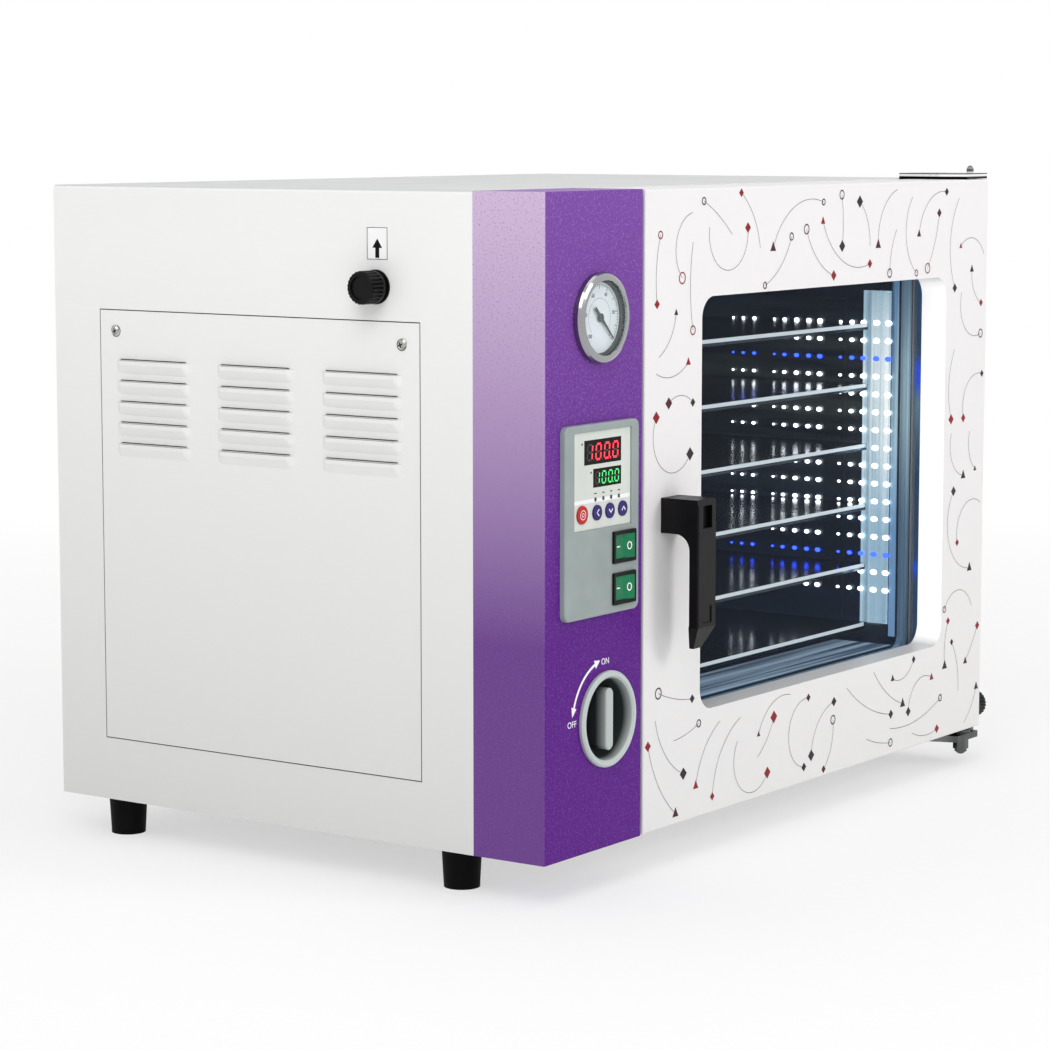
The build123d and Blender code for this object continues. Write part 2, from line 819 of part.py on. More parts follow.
def power_inlet():
    """Recessed socket with three blades, for a mains lead."""
    body = along_y(Pos(inlet_x, inlet_z) * Rectangle(inlet_width, inlet_height),
                   back - inlet_depth, back)
    end = back + inlet_flange
    body += along_y(rounded(inlet_x, inlet_z, inlet_width + 2 * inlet_flange_margin,
                            inlet_height + inlet_flange_margin, inlet_flange_corner), back, end)
    recess = Pos(inlet_x, inlet_z) * Rectangle(inlet_recess_width, inlet_recess_height)
    recess = chamfer(recess.vertices().group_by(Axis.Y)[-1], inlet_recess_height / 4)
    body -= along_y(recess, end - inlet_recess_depth, end)
    for dx, dz in inlet_blade_places:
        blade = Pos(inlet_x + dx, inlet_z + dz) * Rectangle(*inlet_blade)
        body += along_y(blade, end - inlet_recess_depth, end - inlet_recess_depth
                        + inlet_blade_length)
    return body


def ribbed_knob():
    """A ribbed knob along +Z: its rear face at z = 0 and its dished end above."""
    knob = extrude(Circle(knob_radius), knob_length)
    knob = chamfer(knob.edges().group_by(Axis.Z)[-1], knob_edge)
    notch = Pos(knob_radius, 0, knob_length - knob_rib_length / 2)
    notch *= Rot(0, 0, 45) * Box(knob_notch, knob_notch, knob_rib_length)
    notches = [Rot(0, 0, i * 360 / knob_ribs) * notch for i in range(knob_ribs)]
    knob -= Compound(notches)
    return knob - Pos(0, 0, knob_length - knob_dish_depth / 2) * Cylinder(knob_dish_radius,
                                                                         knob_dish_depth)


def vent_valve_body():
    """Collar and neck outside the left wall, threaded tail and nut inside it."""
    centre = (vent_y, vent_z)
    body = round_bar("x", centre, vent_washer_radius, left - vent_washer, left)
    body += round_bar("x", centre, vent_neck_radius, left - vent_washer - vent_neck, left)
    body += round_bar("x", centre, vent_tail_radius, left, left + vent_tail)
    nut = Pos(vent_y, vent_z) * hexagon(vent_nut_radius)
    body += along_x(nut, left + sheet, left + sheet + vent_nut)
    return body - round_bar("x", centre, knob_stem_radius + running_fit,
                            left - vent_washer - vent_neck, left + vent_stem + slide_gap)


def vent_knob():
    seat = left - vent_washer - vent_neck - slide_gap
    knob = Pos(seat, vent_y, vent_z) * Rot(0, -90, 0) * ribbed_knob()
    return knob + round_bar("x", (vent_y, vent_z), knob_stem_radius, seat - 1,
                            left + vent_stem)


# ---- control column ------------------------------------------------------------------------

def control_column():
    case = block(left, column_right, front, shell_front, bottom, top)
    corners = case.edges().filter_by(Axis.Z).group_by(Axis.Y)[0]
    case = fillet(corners, column_edge_radius)
    case -= block(left + sheet, column_right - sheet, front + sheet, shell_front + sheet,
                  bottom + sheet, top - sheet)
    case -= round_bar("y", (gauge_x, gauge_z), gauge_case_radius + pipe_clearance, front - sheet,
                      front + 2 * sheet)
    case -= round_bar("y", (valve_x, valve_z), valve_mouth_radius + valve_cup_wall
                      + pipe_clearance, front - sheet, front + 2 * sheet)
    case -= along_y(module_outline(module_gap), front - sheet, front + 2 * sheet)
    for z in switch_zs:
        case -= along_y(switch_hole(z), front - sheet, front + 2 * sheet)
    return case


def module_outline(margin):
    return Pos(left + module_from_left, bezel_z + module_above) * Rectangle(
        module_width - 2 * module_gap + 2 * margin, module_height - 2 * module_gap + 2 * margin)


def switch_hole(z):
    return Pos(switch_x, z) * Rectangle(switch_body_width + 2 * switch_fit,
                                        switch_body_height + 2 * switch_fit)


def controller_bezel():
    outline = rounded(left + bezel_from_left, bezel_z, bezel_width, bezel_height, bezel_corner)
    bezel = along_y(outline, front - bezel_thickness, front)
    bezel = fillet(bezel.edges().group_by(Axis.Y)[0], bezel_edge_radius)
    bezel -= along_y(module_outline(module_gap), front - 2 * bezel_thickness, front + sheet)
    for z in switch_zs:
        bezel -= along_y(switch_hole(z), front - 2 * bezel_thickness, front + sheet)
    return bezel


def display_places():
    return [(left + x, bezel_z + z, w, h) for x, z, w, h in (upper_display, lower_display)]


def buttons():
    """Place and radius of the four keys."""
    return [(left + x, radius) for x, radius in (power_key,) + arrow_keys]


module_face = front - bezel_thickness + module_recess
button_z = bezel_z + button_above


def controller_module():
    module = along_y(module_outline(0), module_face, module_face + module_depth)
    for x, z, width, height in display_places():
        module -= along_y(Pos(x, z) * Rectangle(width, height), module_face - 1,
                          module_face + display_depth)
    for x, radius in buttons():
        module -= round_bar("y", (x, button_z), radius + running_fit, module_face - 1,
                            module_face + button_depth + button_travel + slide_gap)
    return module


def display_window(x, z, width, height):
    return along_y(Pos(x, z) * Rectangle(width - 2 * display_gap, height - 2 * display_gap),
                   module_face, module_face + display_depth)


def key(x, radius):
    cap = round_bar("y", (x, button_z), radius, module_face - button_height,
                    module_face + button_depth)
    return fillet(cap.edges().group_by(Axis.Y)[0], button_edge_radius)


switch_face = front - bezel_thickness - switch_flange
rocker_pivot_y = switch_face + rocker_pivot_depth


def switch_housing(z):
    seat = front - bezel_thickness
    housing = along_y(rounded(switch_x, z, switch_width, switch_height, switch_corner), switch_face, seat)
    housing += along_y(Pos(switch_x, z) * Rectangle(switch_body_width, switch_body_height),
                       seat, seat + switch_body_depth)
    housing -= along_y(Pos(switch_x, z) * Rectangle(switch_pocket_width, switch_pocket_height),
                       switch_face, switch_face + switch_pocket_depth)
    half = rocker_height / 2 + rocker_pin + rocker_pin_play
    return housing - round_bar("z", (switch_x, rocker_pivot_y), rocker_pin_radius + running_fit,
                               z - half, z + half)


def rocker(z):
    """A rocker with a shallow valley, tipped so that its left end is pressed in."""
    w = rocker_half_width
    outline = make_face(Polyline((-w, -rocker_face), (0, -rocker_valley), (w, -rocker_face),
                                 (w, rocker_side), (rocker_belly_half, rocker_belly),
                                 (-rocker_belly_half, rocker_belly), (-w, rocker_side),
                                 close=True))
    body = along_z(outline, -rocker_height / 2, rocker_height / 2)
    half = rocker_height / 2 + rocker_pin
    body += round_bar("z", (0, 0), rocker_pin_radius, -half, half)
    return Pos(switch_x, rocker_pivot_y, z) * Rot(0, 0, -rocker_tilt) * body


# ---- vacuum gauge --------------------------------------------------------------------------

glass_seat = front - gauge_bezel_height + gauge_lip


def gauge_bezel():
    r_out = gauge_bezel_radius
    r_bore = gauge_case_radius + gauge_fit
    r_lip = r_bore - gauge_lip_width
    face = front - gauge_bezel_height
    slope = gauge_bezel_slope
    profile = Polyline((r_bore, front), (r_out, front), (r_out, face + slope),
                       (r_out - slope / 3, face + slope / 3), (r_out - slope, face),
                       (r_lip, face), (r_lip, glass_seat), (r_bore, glass_seat), close=True)
    return Pos(gauge_x, 0, gauge_z) * revolve(make_face(profile), Axis.Y)


def gauge_glass_disc():
    return round_bar("y", (gauge_x, gauge_z), gauge_case_radius, glass_seat,
                     glass_seat + gauge_glass)


dial_face = glass_seat + gauge_glass + gauge_air


def gauge_case():
    centre = (gauge_x, gauge_z)
    back_face = front + gauge_case_depth
    case = round_bar("y", centre, gauge_case_radius, glass_seat + gauge_glass, back_face)
    case -= round_bar("y", centre, gauge_case_radius - gauge_case_wall, glass_seat, back_face
                      - gauge_case_wall)
    case += round_bar("y", centre, gauge_stem_radius, dial_face + gauge_dial,
                      back_face + gauge_stem)
    return case - round_bar("y", centre, gauge_arbor_radius + running_fit, glass_seat,
                            dial_face + gauge_dial + gauge_arbor_length + slide_gap)


def gauge_dial_plate():
    disc = round_bar("y", (gauge_x, gauge_z), gauge_case_radius - gauge_case_wall - gauge_fit,
                     dial_face, dial_face + gauge_dial)
    return disc - round_bar("y", (gauge_x, gauge_z), gauge_arbor_radius + running_fit,
                            dial_face - 1, dial_face + 2 * gauge_dial)


def gauge_pointer():
    """Needle, hub and arbor, with a counterweighted tail."""
    length, tail = gauge_needle_length, gauge_needle_tail
    half, tip = gauge_needle_width / 2, gauge_needle_tip / 2
    needle = make_face(Polyline((-tail, -half), (-tail, half), (0, half), (length, tip),
                                (length, -tip), (0, -half), close=True))
    level = dial_face - gauge_needle_lift
    turned_needle = Rot(0, 0, gauge_rest_angle) * needle
    pointer = Pos(gauge_x, level, gauge_z) * extrude(Plane.XZ * turned_needle, gauge_needle)
    centre = (gauge_x, gauge_z)
    pointer += round_bar("y", centre, gauge_hub_radius, level - gauge_needle, dial_face - slide_gap)
    return pointer + round_bar("y", centre, gauge_arbor_radius, level,
                               dial_face + gauge_dial + gauge_arbor_length)


# ---- vacuum valve --------------------------------------------------------------------------

def valve_cup():
    wall = valve_cup_wall
    floor = front + valve_dish_depth
    ring_front = front - valve_ring_height
    hole = valve_stem_radius + running_fit
    points = [(hole, floor), (valve_floor_radius, floor), (valve_mouth_radius, ring_front + valve_edge),
              (valve_mouth_radius + valve_edge, ring_front),
              (valve_ring_radius - valve_edge, ring_front),
              (valve_ring_radius, ring_front + valve_edge), (valve_ring_radius, front),
              (valve_mouth_radius + wall, front), (valve_floor_radius + wall, floor + wall),
              (hole, floor + wall)]
    return turned(points, valve_x, valve_z)


def valve_grip():
    """A tall bar across the dish, on the valve's stem."""
    face = front - valve_grip_proud
    floor = front + valve_dish_depth - slide_gap
    bar = along_y(Pos(valve_x, valve_z) * Rot(0, 0, 90) * SlotOverall(valve_grip_length,
                                                                     valve_grip_width),
                  face, floor)
    bar = chamfer(bar.edges().group_by(Axis.Y)[0], valve_grip_edge)
    return bar + round_bar("y", (valve_x, valve_z), valve_stem_radius, floor, floor + valve_stem)


def valve_body_block():
    start = front + valve_dish_depth + valve_cup_wall
    body = round_bar("y", (valve_x, valve_z), valve_body_radius, start, start + valve_body)
    return body - round_bar("y", (valve_x, valve_z), valve_stem_radius + running_fit, start,
                            start + valve_stem)


# ---- door ----------------------------------------------------------------------------------

def door_outline(inset):
    width = right - door_left - 2 * inset
    height = door_top - door_bottom - 2 * inset
    return Pos((right + door_left) / 2, (door_top + door_bottom) / 2) * Rectangle(width, height)


def window_outline(margin):
    width = chamber_width + 2 * (window_side_margin + margin)
    height = chamber_height + 2 * (window_end_margin + margin)
    return rounded(chamber_x, chamber_z, width, height, window_corner + margin)


def spindle_hole(y0, y1):
    return round_bar("y", (handle_x, handle_z), spindle_radius + pipe_clearance, y0, y1)


def door_outer_pan():
    """White front, four sides and the window's reveal, in one folded sheet."""
    pan = along_y(door_outline(0), front, door_back)
    pan = fillet(pan.edges().group_by(Axis.Y)[0], column_edge_radius)
    pan -= along_y(door_outline(sheet), front + sheet, door_back + sheet)
    pan += along_y(window_outline(sheet), front, glass_front)
    pan += along_y(mouth(recess_margin, recess_margin, recess_corner), glass_front - sheet,
                   glass_front)
    pan -= along_y(window_outline(0), front - sheet, glass_front + sheet)
    pan -= spindle_hole(front - sheet, front + 2 * sheet)
    return pan - round_bar("z", (pivot_x, pivot_y), bush_radius, bottom - sheet, top + sheet)


def door_inner_pan():
    """Rear cover, with the recess that takes the chamber's mouth and clamps the glass."""
    corner = recess_corner
    cover = along_y(door_outline(sheet) - mouth(recess_margin, recess_margin, corner),
                    door_back - sheet, door_back)
    walls = mouth_ring(recess_margin, recess_margin + sheet, corner, corner + sheet, glass_front,
                       door_back)
    clamp = mouth_ring(clamp_margin, recess_margin, glass_corner, corner, glass_back,
                       glass_back + sheet)
    return cover + walls + clamp - spindle_hole(door_back - 2 * sheet, door_back + sheet)


def door_glass():
    return along_y(mouth(glass_margin, glass_margin, glass_corner), glass_front, glass_back)


def glass_seal_ring():
    """Rubber channel between the glass's edge and the recess."""
    return mouth_ring(glass_margin, recess_margin, glass_corner, recess_corner, glass_front,
                      glass_back)


def pivot_ends():
    """For the lower and the upper pivot: the door's end face, and the direction into the door."""
    return [(door_bottom, 1), (door_top, -1)]


def door_hinge_blocks():
    blocks = []
    for end, inward in pivot_ends():
        z0, z1 = sorted((end + inward * sheet, end + inward * bush_length))
        solid = block(pivot_x - hinge_block_reach, right - sheet, front + sheet,
                      front + sheet + hinge_block_depth, z0, z1)
        blocks.append(solid - round_bar("z", (pivot_x, pivot_y), bush_radius, z0, z1))
    return blocks


def door_bushings():
    bushes = []
    for end, inward in pivot_ends():
        z0, z1 = sorted((end, end + inward * bush_length))
        bush = round_bar("z", (pivot_x, pivot_y), bush_radius, z0, z1)
        if inward > 0:
            bush += round_bar("z", (pivot_x, pivot_y), bush_flange_radius, end - bush_flange, end)
        bushes.append(bush - round_bar("z", (pivot_x, pivot_y), pin_radius + running_fit,
                                       z0 - 2 * bush_flange, z1 + 1))
    return bushes


def hinge_pins():
    depth = bush_length - pin_end_gap
    lower = round_bar("z", (pivot_x, pivot_y), pin_radius, lower_plate_bottom,
                      door_bottom + depth)
    lower += round_bar("z", (pivot_x, pivot_y), collar_radius, lower_plate_top,
                       lower_plate_top + collar_thickness)
    upper = round_bar("z", (pivot_x, pivot_y), pin_radius, door_top - depth, top + upper_plate)
    return [lower, upper]


def acorn_nut():
    """A domed nut along +Z, its seat at z = 0."""
    nut = extrude(hexagon(nut_radius), nut_height)
    dome_base = nut_height + nut_neck
    nut += round_bar("z", (0, 0), nut_dome_radius, nut_height - nut_neck, dome_base)
    dome = Pos(0, 0, dome_base) * Sphere(nut_dome_radius, arc_size1=0)
    return nut + dome


def hinge_nuts():
    nut = acorn_nut()
    return [Pos(pivot_x, pivot_y, lower_plate_bottom) * Rot(180, 0, 0) * nut,
            Pos(pivot_x, pivot_y, top + upper_plate) * scale(nut, upper_nut_scale)]


def hinge_screw_places():
    """Two screws in each bracket's leg, as (x, z)."""
    middle = right - sheet - plate_width / 2
    heights = (bottom + plate_leg_height - hinge_screw_inset,
               top - plate_leg_height + hinge_screw_inset)
    return [(middle + s * hinge_screw_pitch / 2, z) for z in heights for s in (-1, 1)]


def hinge_screw_holes():
    return Compound([round_bar("y", p, screw_radius + screw_clearance,
                               shell_front - 2 * plate_leg, shell_front + 2 * sheet)
                     for p in hinge_screw_places()])


def hinge_plate(inner, outer, leg_end):
    """Angle bracket: a plate over or under the door, and a leg down the bulkhead."""
    y0 = front + plate_setback
    leg_front = shell_front - plate_leg
    profile = Polyline((y0, inner), (y0, outer), (shell_front, outer), (shell_front, leg_end),
                       (leg_front, leg_end), (leg_front, inner), close=True)
    x0 = right - sheet - plate_width
    plate = along_x(make_face(profile), x0, right - sheet)
    low, high = sorted((inner, outer))
    taper = make_face(Polyline((x0 - 1, y0 - 1), (x0 + plate_taper, y0 - 1),
                               (x0 - 1, y0 + 3 * plate_taper), close=True))
    plate -= along_z(taper, low - 1, high + 1)
    plate -= round_bar("z", (pivot_x, pivot_y), pin_radius, low, high)
    return plate - hinge_screw_holes()


def upper_hinge_bracket():
    return hinge_plate(top, top + upper_plate, top - plate_leg_height)


def lower_hinge_bracket():
    """Its plate lies under the door, and an upturned ear carries the thumb knob."""
    z0, z1 = lower_plate_bottom, lower_plate_top
    plate = hinge_plate(z1, z0, bottom + plate_leg_height)
    ear_inner = right + ear_gap
    ear_outer = ear_inner + ear_thickness
    ear_y = front + ear_from_front
    plate += block(right - 2 * sheet, ear_outer, ear_y, ear_y + ear_width, z0, z1)
    plate += block(ear_inner, ear_outer, ear_y, ear_y + ear_width, z0, bottom + ear_height)
    return plate - round_bar("x", (thumb_y, thumb_z), knob_stem_radius + running_fit,
                             ear_inner - 1, ear_outer + 1)


def hinge_screws():
    screw = pan_head_screw(screw_length)
    return [Pos(x, shell_front - plate_leg, z) * Rot(90, 0, 0) * screw
            for x, z in hinge_screw_places()]


def hinge_thumb_knob():
    seat = right + ear_gap + ear_thickness + slide_gap
    base = seat + thumb_collar
    knob = Pos(base, thumb_y, thumb_z) * Rot(0, 90, 0) * ribbed_knob()
    knob += round_bar("x", (thumb_y, thumb_z), thumb_collar_radius, seat, base)
    return knob + round_bar("x", (thumb_y, thumb_z), knob_stem_radius, right + ear_gap, base)


# ---- handle and latch ----------------------------------------------------------------------

def handle_outline():
    """Side view of the handle, in (y, z): a deep neck, a slim grip and a tip that bends back."""
    y_root = front - slide_gap
    y_face = front - handle_reach
    y_inside = y_face + handle_grip
    z_top = handle_z + handle_neck_height / 2
    z_neck = handle_z - handle_neck_height / 2
    z_bend = handle_z - handle_drop
    z_tip = handle_z - handle_tip
    bevel_back, bevel_down = handle_face_bevel
    outline = make_face(Polyline((y_root, z_top), (y_face + bevel_back, z_top),
                                 (y_face, z_top - bevel_down), (y_face, z_bend),
                                 (y_face + handle_tip_back - handle_tip_width, z_tip),
                                 (y_face + handle_tip_back, z_tip), (y_inside, z_bend + 2),
                                 (y_inside, z_neck), (y_root, z_neck), close=True))
    inner = outline.vertices().sort_by_distance((y_inside, z_neck))[0]
    return fillet(inner, handle_inner_radius)


def handle_grip_body():
    half = handle_width / 2
    grip = along_x(handle_outline(), handle_x - half, handle_x + half)
    sides = grip.edges().filter_by(Plane.YZ).group_by(Axis.Y)[0]
    grip = chamfer(sides, handle_edge)
    grip -= along_y(handle_cover_outline(0), front - handle_reach - 1,
                    front - handle_reach + cover_depth)
    inset = Pos(handle_x, handle_z - handle_tip + inset_from_tip)
    inset *= Rectangle(cover_width, cover_width)
    grip -= along_y(inset, front - handle_reach - 1, front - handle_reach + inset_depth)
    z_tip = handle_z - handle_tip - 1
    z_bend = handle_z - handle_drop
    for side in (-1, 1):
        flank = make_face(Polyline((handle_x + side * handle_tip_half, z_tip),
                                   (handle_x + side * handle_width, z_tip),
                                   (handle_x + side * handle_width, z_bend),
                                   (handle_x + side * half, z_bend), close=True))
        grip -= along_y(flank, front - handle_reach - 1, front)
    return grip - round_bar("y", (handle_x, handle_z), spindle_radius, front - handle_reach / 2,
                            front)


def handle_cover_outline(margin):
    return Pos(handle_x, handle_z) * Rectangle(cover_width - 2 * margin, cover_height - 2 * margin)


def handle_screw_cover():
    y0 = front - handle_reach + cover_sink
    return along_y(handle_cover_outline(display_gap), y0, front - handle_reach + cover_depth)


tongue_front = door_back + tongue_gap
tongue_back = tongue_front + tongue_thickness


def handle_spindle():
    """Spindle through the door, and the nut that holds the tongue on it."""
    spindle = round_bar("y", (handle_x, handle_z), spindle_radius, front - handle_reach / 2,
                        tongue_back)
    nut = along_y(Pos(handle_x, handle_z) * hexagon(latch_nut_radius), tongue_back,
                  tongue_back + latch_nut)
    return [spindle, nut]


def latch_housing():
    half_w, half_h = latch_block_width / 2, latch_block_height / 2
    housing = block(handle_x - half_w, handle_x + half_w, front + sheet, door_back - sheet,
                    handle_z - half_h, handle_z + half_h)
    return housing - round_bar("y", (handle_x, handle_z), spindle_radius + running_fit, front,
                               door_back)


def latch_tongue():
    hub = Pos(handle_x, handle_z) * Circle(tongue_hub_radius)
    reach = tongue_length - tongue_width / 2
    arm = Pos(handle_x - reach / 2, handle_z) * Rectangle(reach, tongue_width)
    tip = Pos(handle_x - reach, handle_z) * Circle(tongue_width / 2)
    hole = Pos(handle_x, handle_z) * Circle(spindle_radius)
    return along_y(hub + arm + tip - hole, tongue_front, tongue_back)


def latch_keeper():
    """Bearing block welded to the bulkhead, behind the tongue's tip."""
    x0 = handle_x - tongue_length - keeper_past_tip
    keeper = block(x0, x0 + keeper_width, tongue_back + slide_gap, shell_front,
                   handle_z - keeper_height / 2, handle_z + keeper_height / 2)
    return chamfer(keeper.edges().filter_by(Axis.X).group_by(Axis.Y)[0], keeper_edge)


# ---- files ---------------------------------------------------------------------------------

boards, covers = light_parts()
power_place, left_place, down_place, up_place = buttons()
light_switch_z, power_switch_z = switch_zs

nodes = {
    "outer_shell": outer_shell(),
    "base_pan": base_pan(),
    "back_cover": back_cover(),
    "side_access_panel": side_access_panel(),
    "fasteners": (back_cover_screws() + access_panel_screws() + hinge_screws()
                  + foot_screws()),
    "front_bulkhead": front_bulkhead(),
    "rubber_feet": rubber_feet(),
    "chamber": chamber(),
    "door_gasket": door_gasket(),
    "heater_plates": heater_plates(),
    "insulation": insulation(),
    "chamber_stands": chamber_stands(),
    "shelf_racks": [rack(-1), rack(1)],
    "light_boards": boards,
    "light_covers": covers,
    "vacuum_pipes": vacuum_pipes(),
    "vacuum_port": vacuum_port(),
    "power_inlet": power_inlet(),
    "vent_valve_body": vent_valve_body(),
    "vent_knob": vent_knob(),
    "control_column": control_column(),
    "controller_bezel": controller_bezel(),
    "controller_module": controller_module(),
    "display_windows": [display_window(*place) for place in display_places()],
    "key_power": key(*power_place),
    "key_left": key(*left_place),
    "key_down": key(*down_place),
    "key_up": key(*up_place),
    "switch_housings": [switch_housing(light_switch_z), switch_housing(power_switch_z)],
    "light_rocker": rocker(light_switch_z),
    "power_rocker": rocker(power_switch_z),
    "gauge_bezel": gauge_bezel(),
    "gauge_glass": gauge_glass_disc(),
    "gauge_case": gauge_case(),
    "gauge_dial": gauge_dial_plate(),
    "gauge_pointer": gauge_pointer(),
    "valve_cup": valve_cup(),
    "valve_grip": valve_grip(),
    "valve_body": valve_body_block(),
    "door_outer_pan": door_outer_pan(),
    "door_inner_pan": door_inner_pan(),
    "door_glass": door_glass(),
    "glass_seal": glass_seal_ring(),
    "door_blocks": door_hinge_blocks() + [latch_housing()],
    "door_bushings": door_bushings(),
    "hinge_pins": hinge_pins() + hinge_nuts(),
    "upper_hinge_bracket": upper_hinge_bracket(),
    "lower_hinge_bracket": lower_hinge_bracket(),
    "hinge_thumb_knob": hinge_thumb_knob(),
    "handle_grip": handle_grip_body(),
    "handle_screw_cover": handle_screw_cover(),
    "handle_spindle": handle_spindle(),
    "latch_tongue": latch_tongue(),
}
for number, shelf_top in enumerate(shelf_tops, start=1):
    nodes[f"shelf_{number}"] = shelf(shelf_top)

for name, shape in nodes.items():
    pieces = shape if isinstance(shape, list) else [shape]
    solids = [solid for piece in pieces for solid in piece.solids()]
    export_step(Compound(solids), f"parts/{name}.step")
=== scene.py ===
import json
import math
import random

import bpy
from mathutils import Matrix, Vector

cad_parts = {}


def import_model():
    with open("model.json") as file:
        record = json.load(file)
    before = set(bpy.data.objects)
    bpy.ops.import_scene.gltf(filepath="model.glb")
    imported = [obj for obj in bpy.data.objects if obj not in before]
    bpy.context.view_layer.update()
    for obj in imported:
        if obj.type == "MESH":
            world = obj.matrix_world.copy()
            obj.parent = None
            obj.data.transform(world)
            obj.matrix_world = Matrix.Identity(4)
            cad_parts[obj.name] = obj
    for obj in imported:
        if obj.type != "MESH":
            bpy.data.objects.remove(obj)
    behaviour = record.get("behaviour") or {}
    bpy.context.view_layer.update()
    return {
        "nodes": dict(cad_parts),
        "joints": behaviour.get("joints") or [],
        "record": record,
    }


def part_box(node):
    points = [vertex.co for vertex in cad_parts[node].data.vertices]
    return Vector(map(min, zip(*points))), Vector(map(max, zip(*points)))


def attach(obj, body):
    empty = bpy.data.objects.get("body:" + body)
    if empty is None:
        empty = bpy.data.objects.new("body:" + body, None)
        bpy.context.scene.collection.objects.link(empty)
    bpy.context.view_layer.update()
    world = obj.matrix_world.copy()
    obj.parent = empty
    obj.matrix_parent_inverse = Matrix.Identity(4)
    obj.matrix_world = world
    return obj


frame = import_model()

MM = 0.001

# ---- places taken from the frame ------------------------------------------------------------

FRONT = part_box("control_column")[0].y
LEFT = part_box("outer_shell")[0].x
door_low, door_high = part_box("door_outer_pan")
module_low, module_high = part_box("controller_module")
dial_low, dial_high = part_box("gauge_dial")
cup_low, cup_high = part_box("valve_cup")
chamber_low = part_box("chamber")[0]
boards_low, boards_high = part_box("light_boards")
racks_low, racks_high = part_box("shelf_racks")
panel_low, panel_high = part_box("side_access_panel")
windows_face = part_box("display_windows")[0].y
plate_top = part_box("upper_hinge_bracket")[1].z
GAUGE_X = (dial_low.x + dial_high.x) / 2
GAUGE_Z = (dial_low.z + dial_high.z) / 2
VALVE_X = (cup_low.x + cup_high.x) / 2
VALVE_Z = (cup_low.z + cup_high.z) / 2


# ---- materials ------------------------------------------------------------------------------

# sockets of a colour mix, which share their names with its other sockets
MIX_FACTOR, MIX_BELOW, MIX_ABOVE, MIXED = 0, 6, 7, 2


def linear(code):
    """A hex colour as linear RGBA."""
    parts = [int(code[i:i + 2], 16) / 255 for i in (1, 3, 5)]
    return [c / 12.92 if c <= 0.04045 else ((c + 0.055) / 1.055) ** 2.4 for c in parts] + [1.0]


